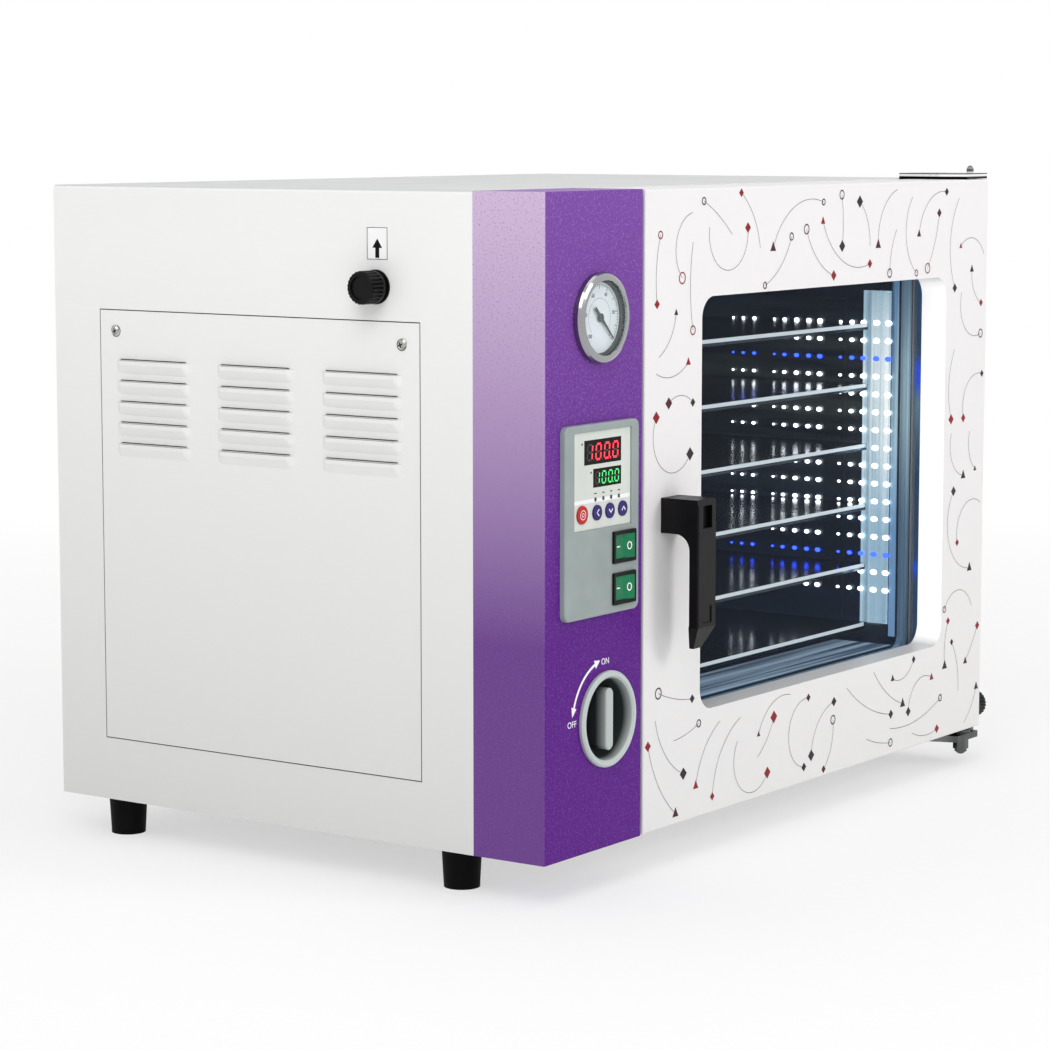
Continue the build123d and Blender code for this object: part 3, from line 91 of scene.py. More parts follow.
class Finish:
    """A Principled material and the nodes that give it detail."""

    def __init__(self, name, colour, roughness, metallic=0.0, **sockets):
        self.material = bpy.data.materials.new(name)
        self.material.use_nodes = True
        self.tree = self.material.node_tree
        self.shader = self.tree.nodes["Principled BSDF"]
        self.colour = linear(colour)
        self.set("Base Color", self.colour)
        self.set("Roughness", roughness)
        self.set("Metallic", metallic)
        for socket, value in sockets.items():
            self.set(socket.replace("_", " "), value)
        self.roughness = roughness
        self.normal = None

    def set(self, socket, value):
        self.shader.inputs[socket].default_value = value

    def node(self, kind, **values):
        node = self.tree.nodes.new(kind)
        for key, value in values.items():
            if key in node.inputs:
                node.inputs[key].default_value = value
            else:
                setattr(node, key, value)
        return node

    def link(self, source, output, target, socket):
        self.tree.links.new(source.outputs[output], target.inputs[socket])

    def place(self, stretch=(1, 1, 1)):
        """Object coordinates in metres, stretched."""
        coordinates = self.node("ShaderNodeTexCoord")
        mapping = self.node("ShaderNodeMapping", Scale=stretch)
        self.link(coordinates, "Object", mapping, "Vector")
        return mapping

    def position(self):
        """Object coordinates in metres, split into X, Y and Z."""
        parts = self.node("ShaderNodeSeparateXYZ")
        self.link(self.place(), "Vector", parts, "Vector")
        return parts

    def facing(self):
        """The direction in which a face looks, split into X, Y and Z."""
        parts = self.node("ShaderNodeSeparateXYZ")
        self.link(self.node("ShaderNodeNewGeometry"), "True Normal", parts, "Vector")
        return parts

    def noise(self, size_mm, detail=3.0, stretch=(1, 1, 1), rough=0.5):
        texture = self.node("ShaderNodeTexNoise", Scale=1000.0 / size_mm, Detail=detail,
                            Roughness=rough)
        self.link(self.place(stretch), "Vector", texture, "Vector")
        return texture

    def spread(self, texture, output, low, high, start=0.3, end=0.7):
        """A texture's value mapped to a range."""
        ramp = self.node("ShaderNodeMapRange")
        for index, value in enumerate((start, end, low, high), start=1):
            ramp.inputs[index].default_value = value
        self.link(texture, output, ramp, "Value")
        return ramp

    def product(self, first, second):
        """Two values multiplied."""
        node = self.node("ShaderNodeMath", operation="MULTIPLY")
        self.tree.links.new(first.outputs[0], node.inputs[0])
        self.tree.links.new(second.outputs[0], node.inputs[1])
        return node

    def ramp(self, stops):
        """A colour ramp through (place, hex colour) stops."""
        curve = self.node("ShaderNodeValToRGB")
        for index, (place, code) in enumerate(stops):
            if index < 2:
                stop = curve.color_ramp.elements[index]
                stop.position = place
            else:
                stop = curve.color_ramp.elements.new(place)
            stop.color = linear(code)
        return curve

    def mix(self, factor, below, above):
        """Two colours mixed by a node's value. Each is linear RGBA or a socket."""
        node = self.node("ShaderNodeMix", data_type="RGBA")
        self.tree.links.new(factor.outputs[0], node.inputs[MIX_FACTOR])
        for socket, value in ((MIX_BELOW, below), (MIX_ABOVE, above)):
            if isinstance(value, list):
                node.inputs[socket].default_value = value
            else:
                self.tree.links.new(value, node.inputs[socket])
        return node.outputs[MIXED]

    def paint(self, colour, socket="Base Color"):
        """Feed a colour's socket to the shader."""
        self.tree.links.new(colour, self.shader.inputs[socket])
        return self

    def bump(self, texture, output, depth_mm, strength=1.0):
        node = self.node("ShaderNodeBump", Strength=strength, Distance=depth_mm * MM)
        self.link(texture, output, node, "Height")
        if self.normal:
            self.link(self.normal, "Normal", node, "Normal")
        self.normal = node
        self.link(node, "Normal", self.shader, "Normal")
        return self

    def uneven(self, texture, output, amount):
        """Roughness that varies about its middle."""
        ramp = self.spread(texture, output, max(self.roughness - amount, 0.02),
                           min(self.roughness + amount, 1.0))
        self.link(ramp, "Result", self.shader, "Roughness")
        return self

    def shades(self, texture, output, other, start=0.3, end=0.7):
        """Base colour that drifts from its own to another."""
        ramp = self.spread(texture, output, 0.0, 1.0, start, end)
        return self.paint(self.mix(ramp, self.colour, linear(other)))


WHITE_HEIGHTS = (0.03, 0.5)           # of the painted shade, from the darkest to the palest white


def powder_coat(name, low, high, top):
    """Smooth paint with painted shade: a little darker towards the bottom, and on faces that look
    up.
    """
    finish = Finish(name, low, 0.36, Specular_IOR_Level=0.35)
    finish.bump(finish.noise(0.9, 2.0), "Fac", 0.02, 0.5)
    finish.uneven(finish.noise(60.0), "Fac", 0.05)
    # painted shade: darker towards the bottom, and on faces that look up
    rise = finish.spread(finish.position(), "Z", 0.0, 1.0, *WHITE_HEIGHTS)
    upward = finish.spread(finish.facing(), "Z", 0.0, 1.0, 0.5, 0.95)
    walls = finish.mix(rise, finish.colour, linear(high))
    return finish.paint(finish.mix(upward, walls, linear(top)))


FRONT_HEIGHTS = (0.2, 0.62)           # over which the painted highlight pales the column's front
SIDE_HEIGHTS = (0.2, 0.56)            # and its left face, with a painted sheen
GLINT_HEIGHTS = (0.2, 0.5)            # and over which its painted glints grow


def hammered_coat(name, colour, front_highlight, side_sheen, glint):
    """Textured paint with painted light: a painted highlight pales it with height, more so as a
    painted sheen on the face towards -X, and painted glints grow towards the top.
    """
    finish = Finish(name, colour, 0.4, Specular_IOR_Level=0.1)
    grain = finish.noise(1.9, 2.0)
    finish.bump(grain, "Fac", 0.32, 0.75)
    finish.bump(finish.noise(0.9, 2.0), "Fac", 0.08, 0.5)
    finish.uneven(grain, "Fac", 0.1)
    height = finish.position()
    side = finish.spread(finish.facing(), "X", 1.0, 0.0, -0.8, -0.2)
    # painted glints, growing with height
    painted_glints = finish.spread(finish.noise(1.6, 4.0, rough=0.7), "Fac", 0.0, 0.8, 0.53, 0.66)
    # painted highlight on the front and painted sheen on the face towards -X, both growing with
    # height
    shade = finish.mix(finish.spread(height, "Z", 0.0, 1.0, *FRONT_HEIGHTS), finish.colour,
                       linear(front_highlight))
    shade = finish.mix(finish.product(finish.spread(height, "Z", 0.1, 1.0, *SIDE_HEIGHTS), side),
                       shade, linear(side_sheen))
    growth = finish.spread(height, "Z", 0.35, 1.0, *GLINT_HEIGHTS)
    return finish.paint(finish.mix(finish.product(painted_glints, growth), shade, linear(glint)))


def brushed(name, colour, other, roughness, stretch=(1, 1, 1), depth_mm=0.02):
    finish = Finish(name, colour, roughness, 1.0)
    lines = finish.noise(0.8, 2.0, stretch)
    finish.bump(lines, "Fac", depth_mm, 0.35)
    finish.uneven(lines, "Fac", 0.06)
    return finish.shades(finish.noise(40.0), "Fac", other)


def moulded(name, colour, other, roughness, grain_mm=0.6, depth_mm=0.03, **sockets):
    finish = Finish(name, colour, roughness, **sockets)
    finish.bump(finish.noise(grain_mm, 2.0), "Fac", depth_mm, 0.5)
    finish.uneven(finish.noise(12.0), "Fac", 0.05)
    return finish.shades(finish.noise(25.0), "Fac", other)


def glowing(name, colour, strength):
    finish = Finish(name, colour, 0.4, Emission_Color=linear(colour),
                    Emission_Strength=strength)
    finish.uneven(finish.noise(3.0), "Fac", 0.05)
    return finish


def painted_recess_light(finish, x_low, x_high, strength):
    """Painted light from the chamber: a glow on the faces towards -X between two places along X."""
    side = finish.spread(finish.facing(), "X", strength, 0.0, -0.9, -0.3)
    inside = finish.node("ShaderNodeMath", operation="COMPARE")
    inside.inputs[1].default_value = (x_low + x_high) / 2
    inside.inputs[2].default_value = (x_high - x_low) / 2
    finish.link(finish.position(), "X", inside, 0)
    finish.set("Emission Color", linear("#FFFFFF"))
    finish.link(finish.product(side, inside), "Value", finish.shader, "Emission Strength")
    return finish


def moulding_with_painted_shade(name, light, dark, depth_mm):
    """The valve's moulding, with painted shade that darkens it with depth behind the front of its
    cup.
    """
    finish = Finish(name, light, 0.36, Specular_IOR_Level=0.3)
    finish.bump(finish.noise(0.8, 2.0), "Fac", 0.03, 0.5)
    finish.uneven(finish.noise(12.0), "Fac", 0.05)
    start = cup_low.y + 1.0 * MM
    return finish.shades(finish.position(), "Y", dark, start, start + depth_mm * MM)


def plate_with_painted_reflections(name, low, stops):
    """Polished plate with painted reflections: bands over its height, as (mm above low, colour)."""
    finish = Finish(name, stops[0][1], 0.16, 1.0)
    span = stops[-1][0]
    scaled = finish.spread(finish.position(), "Z", 0.0, 1.0, low, low + span * MM)
    curve = finish.ramp([(place / span, code) for place, code in stops])
    finish.link(scaled, "Result", curve, "Fac")
    finish.paint(curve.outputs["Color"])
    return finish.uneven(finish.noise(9.0, 2.0, (1, 1, 0.2)), "Fac", 0.06)


# painted glow of the blue LED rows
BLUE_GLOW = "#2152E0"
LIT_HEIGHTS = (0.13, 0.45)            # of the glass, over which the painted light is shaded


def lit(name, dim, bright, gap, strength, streaks, blue=False):
    """Surface with painted light from the chamber: it glows, brightest at mid-height, and streaky.

    The streaks' gaps have a colour of their own, and a painted glow of the blue rows can be added."""
    finish = Finish(name, dim, 0.3, Emission_Strength=strength)
    stops = [(0.0, dim), (0.3, dim), (0.62, bright), (0.78, bright), (1.0, dim)]
    if blue:
        stops = [(0.0, dim), (0.14, dim), (0.175, BLUE_GLOW), (0.21, dim), (0.45, dim),
                 (0.66, bright), (0.72, BLUE_GLOW), (0.76, BLUE_GLOW), (0.8, dim), (1.0, dim)]
    curve = finish.ramp(stops)
    rise = finish.spread(finish.position(), "Z", 0.0, 1.0, *LIT_HEIGHTS)
    finish.link(rise, "Result", curve, "Fac")
    veil = finish.spread(finish.noise(7.0, 3.0, streaks), "Fac", 0.0, 1.0, 0.36, 0.6)
    shade = finish.mix(veil, linear(gap), curve.outputs["Color"])
    finish.paint(shade)
    return finish.paint(shade, "Emission Color")


def ring_with_painted_reflections(name, dark, light):
    """Polished ring with painted reflections: its shade changes round the gauge's centre, as a
    chromed ring's reflections do.
    """
    finish = Finish(name, light, 0.12, 1.0)
    turn = finish.place()
    turn.inputs["Location"].default_value = (-GAUGE_X, GAUGE_Z, 0.0)
    turn.inputs["Rotation"].default_value = (math.radians(-90), 0, 0)
    angle = finish.node("ShaderNodeTexGradient", gradient_type="RADIAL")
    finish.link(turn, "Vector", angle, "Vector")
    curve = finish.ramp([(0.0, light), (0.1, dark), (0.18, light), (0.33, dark), (0.42, light),
                         (0.55, dark), (0.68, light), (0.82, dark), (1.0, light)])
    finish.link(angle, "Fac", curve, "Fac")
    finish.paint(curve.outputs["Color"])
    return finish.uneven(finish.noise(8.0), "Fac", 0.03)


def clear(name, colour, roughness, alpha, gloss=0.5):
    """Clear sheet: see-through without bending light, with its gloss on top."""
    finish = Finish(name, colour, roughness, Alpha=alpha, Specular_IOR_Level=gloss)
    finish.uneven(finish.noise(90.0), "Fac", 0.02)
    finish.material.surface_render_method = "BLENDED"
    return finish


# paints
# white paint with painted shade: darkest low down, palest higher up, and its last colour on faces
# that look up
white = powder_coat("white_coat", "#DCDCDA", "#F8F8F7", "#BFC1C0")
RIGHT_REVEAL = (0.2, 0.3)             # along X, where painted light from the chamber falls on the door's reveal
# door paint with painted shade, and painted light on its right reveal
door_white = painted_recess_light(powder_coat("door_white", "#E1E0DF", "#ECEAEA", "#DADADA"),
                            *RIGHT_REVEAL, 0.6)
# purple paint; its last three colours are a painted highlight, a painted sheen and painted glints
purple = hammered_coat("purple_coat", "#561480", "#7C4CA4", "#D9C2DF", "#9C78B8")

# metals
shelf_steel = brushed("shelf_steel", "#56616E", "#47515E", 0.16, (0.04, 1, 1))
# its paler colour is a painted highlight, in patches of noise
hinge_chrome = brushed("hinge_chrome", "#3C3D3D", "#8E908F", 0.16, (1, 1, 0.2), 0.01)
PLATE_MM = 5.0                        # thickness of the upper hinge's plate
# painted reflections: dark and bright bands over the upper hinge's plate
top_plate = plate_with_painted_reflections("top_plate", plate_top - PLATE_MM * MM,
                   [(0.0, "#0C0C0D"), (1.9, "#101112"), (2.3, "#F4F4F4"), (4.0, "#FFFFFF"),
                    (4.3, "#1A1A1B"), (PLATE_MM, "#1A1A1B")])
PLATE_TOP_MM = plate_top / MM
# painted reflections and highlights over the height of the hinge pins and their nuts
pin_plate = plate_with_painted_reflections("pin_plate", 0.0,
                   [(0.0, "#5C5D5D"), (PLATE_TOP_MM - 60, "#5C5D5D"), (PLATE_TOP_MM, "#EDEDED"),
                    (PLATE_TOP_MM + 1.8, "#F4F4F4"), (PLATE_TOP_MM + 2.1, "#070707"),
                    (PLATE_TOP_MM + 3.6, "#070707"), (PLATE_TOP_MM + 4.2, "#BDBEBE"),
                    (PLATE_TOP_MM + 6.0, "#3A3A3A"), (PLATE_TOP_MM + 9.0, "#0A0A0A")])
bush_steel = brushed("bush_steel", "#4A4B4C", "#3A3B3C", 0.3)
# painted reflections round the gauge's bezel
gauge_chrome = ring_with_painted_reflections("gauge_chrome", "#3A3B3F", "#D9DADC")
zinc = brushed("zinc_steel", "#B9B9B2", "#A3A49E", 0.32)
brass = brushed("brass", "#B48C48", "#A57F3F", 0.28)
foil = brushed("heater_foil", "#BFC0C2", "#ADAFB1", 0.35, depth_mm=0.05)

# plastics, rubber, wool and glass
# valve mouldings whose second colour is painted shade deep in the cup
valve_shell = moulding_with_painted_shade("valve_shell", "#BCC4C2", "#2B3233", 8.0)
valve_bar = moulding_with_painted_shade("valve_bar", "#B4BCB9", "#2E3535", 10.0)
black = moulded("black_plastic", "#08080A", "#0D0D0E", 0.38, Specular_IOR_Level=0.16)
rubber = moulded("black_rubber", "#040404", "#080808", 0.6, 1.2, 0.06, Specular_IOR_Level=0.08)
grey = moulded("grey_plastic", "#98A2A1", "#8F9998", 0.4, Specular_IOR_Level=0.3)
pale = moulded("pale_plastic", "#D5DAD3", "#CDD3CC", 0.4, Specular_IOR_Level=0.3)
tinted = moulded("display_plastic", "#0C0506", "#0A0607", 0.2, Specular_IOR_Level=0.1)
green = moulded("green_plastic", "#057A4E", "#046B44", 0.25, Specular_IOR_Level=0.25)
red = moulded("red_plastic", "#BC1F1C", "#AE1A18", 0.4, Specular_IOR_Level=0.25)
blue = moulded("blue_plastic", "#30226E", "#281B62", 0.4, Specular_IOR_Level=0.25)
dial_white = moulded("dial_white", "#E4ECF0", "#DEE7EC", 0.45, 1.0, 0.005)
gauge_black = moulded("gauge_black", "#060606", "#0A0A0A", 0.5, Specular_IOR_Level=0.1)
wool = moulded("mineral_wool", "#CFC7AE", "#B9AF92", 0.95, 1.5, 0.8)
glass = clear("clear_glass", "#0A1524", 0.03, 0.22, 0.12)
gauge_lens = clear("gauge_lens", "#DDE8EA", 0.03, 0.08, 0.3)
cover_clear = clear("clear_plastic", "#A9C6D0", 0.1, 0.08)

# surfaces with painted light from the chamber
UPRIGHT_STREAKS = (1, 1, 0.02)
chamber_steel = lit("chamber_steel", "#13253B", "#3C4442", "#0C1726", 0.42, (0.04, 0.04, 0.5))
board = lit("light_board", "#9DBACC", "#EFF6F4", "#86A4B6", 1.5, UPRIGHT_STREAKS)
band = lit("light_band", "#6E92B8", "#B2CFDB", "#446488", 1.05, UPRIGHT_STREAKS)
gasket = lit("gasket", "#7B97AC", "#B2CFDB", "#56748E", 0.6, UPRIGHT_STREAKS)
sill = lit("light_sill", "#9DB8D0", "#9DB8D0", "#1C3048", 0.7, (0.02, 1, 1))
seal_navy = lit("seal_navy", "#2A4563", "#607F92", "#223A54", 0.9, (1, 1, 0.03), True)

# prints and lights
louvre_shade = moulded("louvre_shade", "#4A4C4E", "#424446", 0.6, Specular_IOR_Level=0.1)
label_white = moulded("label_white", "#FDFDFD", "#FFFFFF", 0.5, Specular_IOR_Level=0.3)
ink_black = moulded("ink_black", "#060606", "#0B0B0B", 0.5, Specular_IOR_Level=0.1)
ink_white = moulded("ink_white", "#F4F4F6", "#EEEEF2", 0.45)
ink_grey = moulded("ink_grey", "#6E666C", "#827A80", 0.5, Specular_IOR_Level=0.2)
ink_red = moulded("ink_red", "#93141F", "#80101B", 0.45, Specular_IOR_Level=0.2)
ink_maroon = moulded("ink_maroon", "#4E1426", "#421022", 0.45, Specular_IOR_Level=0.2)
ink_charcoal = moulded("ink_charcoal", "#2A1F28", "#221A22", 0.45, Specular_IOR_Level=0.2)
digit_off = moulded("digit_off", "#2B0B0D", "#250A0C", 0.3)
digit_red = glowing("digit_red", "#FF2A3C", 1.6)
digit_green = glowing("digit_green", "#35C463", 1.3)
led_white = glowing("led_white", "#F4FAFF", 7.0)
led_blue = glowing("led_blue", "#2A4BFF", 6.0)
# painted highlight on the shelves' front edges, as a glow
edge_highlight = glowing("edge_highlight", "#D5E2E8", 0.75)

finish_of_slot = {
    "white_coat": white, "purple_coat": purple, "zinc_steel": zinc, "black_plastic": black,
    "black_rubber": rubber, "clear_glass": glass, "clear_plastic": cover_clear,
    "light_board": board, "grey_plastic": grey, "pale_plastic": pale,
    "display_plastic": tinted, "green_plastic": green, "red_plastic": red,
    "blue_plastic": blue, "gauge_white": dial_white, "gauge_black": gauge_black,
    "brass": brass, "heater_foil": foil, "mineral_wool": wool, "stainless": shelf_steel,
}
finish_of_node = {
    "chamber": chamber_steel, "shelf_racks": chamber_steel, "door_gasket": gasket,
    "glass_seal": seal_navy, "gauge_glass": gauge_lens, "gauge_bezel": gauge_chrome,
    "valve_cup": valve_shell, "valve_grip": valve_bar, "door_outer_pan": door_white,
    "door_bushings": bush_steel, "upper_hinge_bracket": top_plate,
    "lower_hinge_bracket": hinge_chrome, "hinge_pins": pin_plate,
}
slot_of = {row["node"]: row["material_slot"] for row in frame["record"]["subparts"]}

for name, node in frame["nodes"].items():
    finish = finish_of_node.get(name) or finish_of_slot[slot_of[name]]
    if not node.data.materials:
        node.data.materials.append(None)
    for index in range(len(node.data.materials)):
        node.data.materials[index] = finish.material


# ---- helpers for pieces ---------------------------------------------------------------------

INK = 0.12 * MM                       # how far printed marks stand on what carries them
UPRIGHT = Matrix.Rotation(math.radians(90), 4, "X")


def piece(name, verts, faces, finish, body, smooth=False):
    """A mesh piece that rides on a body."""
    mesh = bpy.data.meshes.new(name)
    mesh.from_pydata([tuple(v) for v in verts], [], faces)
    mesh.update()
    obj = bpy.data.objects.new(name, mesh)
    bpy.context.collection.objects.link(obj)
    mesh.materials.append(finish.material)
    if smooth:
        for face in mesh.polygons:
            face.use_smooth = True
    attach(obj, body)
    return obj


def facing_front(y):
    """Turns (u, v, depth) into a place on a plane that faces -Y."""
    return lambda u, v, d=0.0: Vector((u, y - d, v))


def facing_left(x):
    """The same on a plane that faces -X; u runs to the viewer's right."""
    return lambda u, v, d=0.0: Vector((x - d, -u, v))


def on_right_wall(u, v, d=0.0):
    """The same on the chamber's right wall, seen from inside, where u runs along Y."""
    return Vector((boards_high.x - LIGHT_SKIN - d, u, v))


def on_floor(u, v, d=0.0):
    """The same on the chamber's floor."""
    return Vector((u, v, chamber_floor + LIGHT_SKIN + d))


class Print:
    """Flat marks with a little thickness, gathered into one mesh."""

    RIM = 0.97                        # size of a mark's top, as a share of its foot

    def __init__(self, onto, thickness=INK):
        self.onto = onto
        self.thickness = thickness
        self.verts = []
        self.faces = []

    def polygon(self, points):
        """A filled outline, counter-clockwise as seen, with a bevelled rim."""
        n = len(points)
        first = len(self.verts)
        cx = sum(p[0] for p in points) / n
        cy = sum(p[1] for p in points) / n
        self.verts += [self.onto(u, v, 0.0) for u, v in points]
        self.verts += [self.onto(cx + (u - cx) * self.RIM, cy + (v - cy) * self.RIM, self.thickness)
                       for u, v in points]
        for i in range(n):
            j = (i + 1) % n
            self.faces.append((first + i, first + j, first + n + j, first + n + i))
        self.faces.append(tuple(range(first + n, first + 2 * n)))

    def strip(self, points, width, closed=False):
        """A line of even width along points."""
        n = len(points)
        first = len(self.verts)
        for i, (u, v) in enumerate(points):
            before = points[i - 1] if i or closed else points[i]
            after = points[(i + 1) % n] if i < n - 1 or closed else points[i]
            along = Vector((after[0] - before[0], after[1] - before[1])).normalized()
            side = Vector((-along.y, along.x)) * width / 2
            for s in (-1, 1):
                self.verts.append(self.onto(u + s * side.x, v + s * side.y, self.thickness))
        for i in range(n if closed else n - 1):
            a, b = first + 2 * i, first + 2 * ((i + 1) % n)
            self.faces.append((a, b, b + 1, a + 1))

    def ring(self, cx, cy, radius, width, steps=24):
        self.strip(loop(cx, cy, radius, radius, steps), width, closed=True)

    def disc(self, cx, cy, rx, ry=None, steps=16):
        self.polygon(loop(cx, cy, rx, ry or rx, steps))

    def box(self, u0, u1, v0, v1):
        self.polygon([(u0, v0), (u1, v0), (u1, v1), (u0, v1)])

    def frame(self, u0, u1, v0, v1, width):
        self.strip([(u0, v0), (u1, v0), (u1, v1), (u0, v1)], width, closed=True)

    def done(self, name, finish, body, slot=None):
        return piece(name, self.verts, self.faces, finish, body)


def loop(cx, cy, rx, ry, steps):
    """Points round an ellipse."""
    return [(cx + rx * math.cos(2 * math.pi * i / steps),
             cy + ry * math.sin(2 * math.pi * i / steps)) for i in range(steps)]


def arc(cx, cy, radius, start, end, steps=20):
    """Points along an arc, angles in degrees."""
    return [(cx + radius * math.cos(math.radians(start + (end - start) * i / steps)),
             cy + radius * math.sin(math.radians(start + (end - start) * i / steps)))
            for i in range(steps + 1)]


def lettering(name, text, place, size, finish, body):
    """Printed numerals or words that face -Y."""
    curve = bpy.data.curves.new(name, "FONT")
    curve.body = text
    curve.size = size
    curve.align_x = "CENTER"
    curve.align_y = "CENTER"
    curve.extrude = INK / 2
    curve.materials.append(finish.material)
    obj = bpy.data.objects.new(name, curve)
    bpy.context.collection.objects.link(obj)
    obj.matrix_world = Matrix.Translation(place) @ UPRIGHT
    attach(obj, body)


# ---- door pattern: arcs that end in small diamonds, rings and triangles ----------------------

DOOR_MARGIN = 5 * MM
WINDOW = (-0.1378, 0.2798, 0.1215, 0.4585)           # x0, x1, z0, z1
HANDLE_GUARD = (-0.205, -0.138, 0.150, 0.308)        # hidden by the handle, or beside it
ARC_TRIES = 9000
ARC_RADII = (30, 45, 70, 110, 160)                   # mm
ARC_LENGTHS = (38, 105)
ARC_APART = 12 * MM
ARC_WIDTH = 0.55 * MM
MARK_SIZES = (3.0, 5.6)
MARK_RING = 1.1 * MM                                 # width of a ring's line
ONE_ENDED = 0.6                                      # share of arcs with one mark
MARK_CORNERS = {"diamond": 4, "triangle": 3, "ring": None}


def on_door(u, v):
    """Whether a point lies on the free part of the door's face."""
    inside = (door_low.x + DOOR_MARGIN < u < door_high.x - DOOR_MARGIN
              and door_low.z + DOOR_MARGIN < v < door_high.z - DOOR_MARGIN)
    for u0, u1, v0, v1 in (WINDOW, HANDLE_GUARD):
        if u0 - DOOR_MARGIN < u < u1 + DOOR_MARGIN and v0 - DOOR_MARGIN < v < v1 + DOOR_MARGIN:
            inside = False
    return inside


def door_pattern():
    dice = random.Random(11)
    face = facing_front(FRONT)
    lines = Print(face)
    marks = {key: Print(face, INK * 1.5) for key in ("red", "maroon", "charcoal")}
    taken = []
    for attempt in range(ARC_TRIES):
        cx = dice.uniform(door_low.x, door_high.x)
        cy = dice.uniform(door_low.z, door_high.z)
        radius = dice.choice(ARC_RADII) * MM
        start = dice.uniform(0, 360)
        sweep = math.degrees(dice.uniform(*ARC_LENGTHS) * MM / radius)
        points = arc(cx, cy, radius, start, start + sweep, 18)
        clear_of = all(on_door(u, v) for u, v in points) and all(
            (u - a) ** 2 + (v - b) ** 2 > ARC_APART ** 2 for u, v in points[::3] for a, b in taken)
        if not clear_of:
            continue
        taken += points[::3]
        lines.strip(points, ARC_WIDTH)
        ends = [points[-1]] if dice.random() < ONE_ENDED else [points[0], points[-1]]
        for u, v in ends:
            colour = dice.choice(("red", "red", "maroon", "charcoal", "charcoal"))
            size = dice.uniform(*MARK_SIZES) * MM
            corners = MARK_CORNERS[dice.choice(("diamond", "diamond", "ring", "triangle"))]
            if corners:
                marks[colour].polygon([
                    (u + size * math.sin(-2 * math.pi * i / corners),
                     v + size * math.cos(2 * math.pi * i / corners)) for i in range(corners)])
            else:
                marks[colour].ring(u, v, size * 0.8, MARK_RING, 16)
    lines.done("door_lines", ink_grey, "door")
    for key, ink in (("red", ink_red), ("maroon", ink_maroon), ("charcoal", ink_charcoal)):
        marks[key].done(f"door_marks_{key}", ink, "door")


door_pattern()

# ---- lights in the chamber, and painted reflections of them ---------------------------------

LED_ROWS = 16
LED_PITCH = 16.5 * MM
LED_LOW = 167.0 * MM
BLUE_ROWS = (2, 13)                   # counted from the top
BOARD_COLUMNS = (-191.0 * MM, -178.5 * MM)
# painted reflections of the LEDs, as glowing dots: (y in mm, share of the radius)
GLINT_COLUMNS = ((-165.0, 1.0), (-153.0, 0.9), (-141.0, 0.6), (-119.0, 1.0), (-107.0, 0.9),
                 (-94.0, 0.9), (-81.0, 0.75), (-70.0, 0.5), (-48.0, 0.7), (-36.0, 0.6),
                 (-25.0, 0.45))
GLINT_RADIUS = 2.6 * MM
LED_RADIUS = GLINT_RADIUS * 1.2
BOARD_FACE = 2.1 * MM                 # front of the boards, off the walls
GLINT_FACE = 2.4 * MM
DOT_STEPS = 10
DOT_RINGS = ((1.0, 0.0), (0.75, 0.25), (0.4, 0.4))   # share of the radius, rise in mm
DOT_LONG, DOT_TALL = 1.15, 0.8        # along Y and Z, as shares of the radius
CHAMBER_SIDES = {-1: boards_low.x, 1: boards_high.x}


def dots(name, places, finish):
    """Small domed discs on the two side walls: (side, depth off the wall, y, z, radius)."""
    verts, faces = [], []
    steps = DOT_STEPS
    for side, off, y, z, radius in places:
        wall = CHAMBER_SIDES[side]
        first = len(verts)
        for ring, (share, rise) in enumerate(DOT_RINGS):
            for u, v in loop(y, z, radius * share * DOT_LONG, radius * share * DOT_TALL, steps):
                verts.append((wall - side * (off + rise * MM), u, v))
            if ring:
                for i in range(steps):
                    j = (i + 1) % steps
                    low = first + (ring - 1) * steps
                    faces.append((low + i, low + j, low + steps + j, low + steps + i))
        faces.append(tuple(first + 2 * steps + i for i in range(steps)))
    piece(name, verts, faces, finish, "cabinet", smooth=True)


rows = [(LED_LOW + (LED_ROWS - 1 - i) * LED_PITCH, i in BLUE_ROWS) for i in range(LED_ROWS)]
for key, finish in (("white", led_white), ("blue", led_blue)):
    wanted = [z for z, is_blue in rows if is_blue == (key == "blue")]
    dots(f"led_dots_{key}", [(side, BOARD_FACE, y, z, LED_RADIUS) for side in (-1, 1)
                             for y in BOARD_COLUMNS for z in wanted], finish)
    # painted reflections of the LEDs
    dots(f"led_glints_{key}", [(side, GLINT_FACE, y * MM, z, GLINT_RADIUS * share)
                               for side in (-1, 1) for y, share in GLINT_COLUMNS
                               for z in wanted], finish)

# ---- painted light on the chamber's right wall and floor ------------------------------------

LIGHT_SKIN = 0.3 * MM
chamber_mouth = chamber_low.y
chamber_floor = chamber_low.z + 13.5 * MM


def light_strips():
    """Thin skins of painted light on the right wall beside the boards, and on the floor behind the
    mouth.
    """
    mouth_side = Print(on_right_wall)
    mouth_side.box(chamber_mouth + 1 * MM, boards_low.y - 1 * MM, racks_low.z - 20 * MM,
                   racks_high.z + 22 * MM)
    mouth_side.done("light_band", band, "cabinet")
    beside = Print(on_right_wall)
    beside.box(boards_high.y + 1 * MM, boards_high.y + 9 * MM, boards_low.z, boards_high.z)
    beside.done("light_beside", board, "cabinet")
    ground = Print(on_floor)
    ground.box(boards_low.x + 4 * MM, boards_high.x - 4 * MM, chamber_mouth + 1 * MM,
               chamber_mouth + 60 * MM)
    ground.done("light_sill", sill, "cabinet")


light_strips()

# ---- painted highlights on the front edges of the shelves -----------------------------------

SHELF_EDGE = 3.4 * MM                 # height of the painted highlight


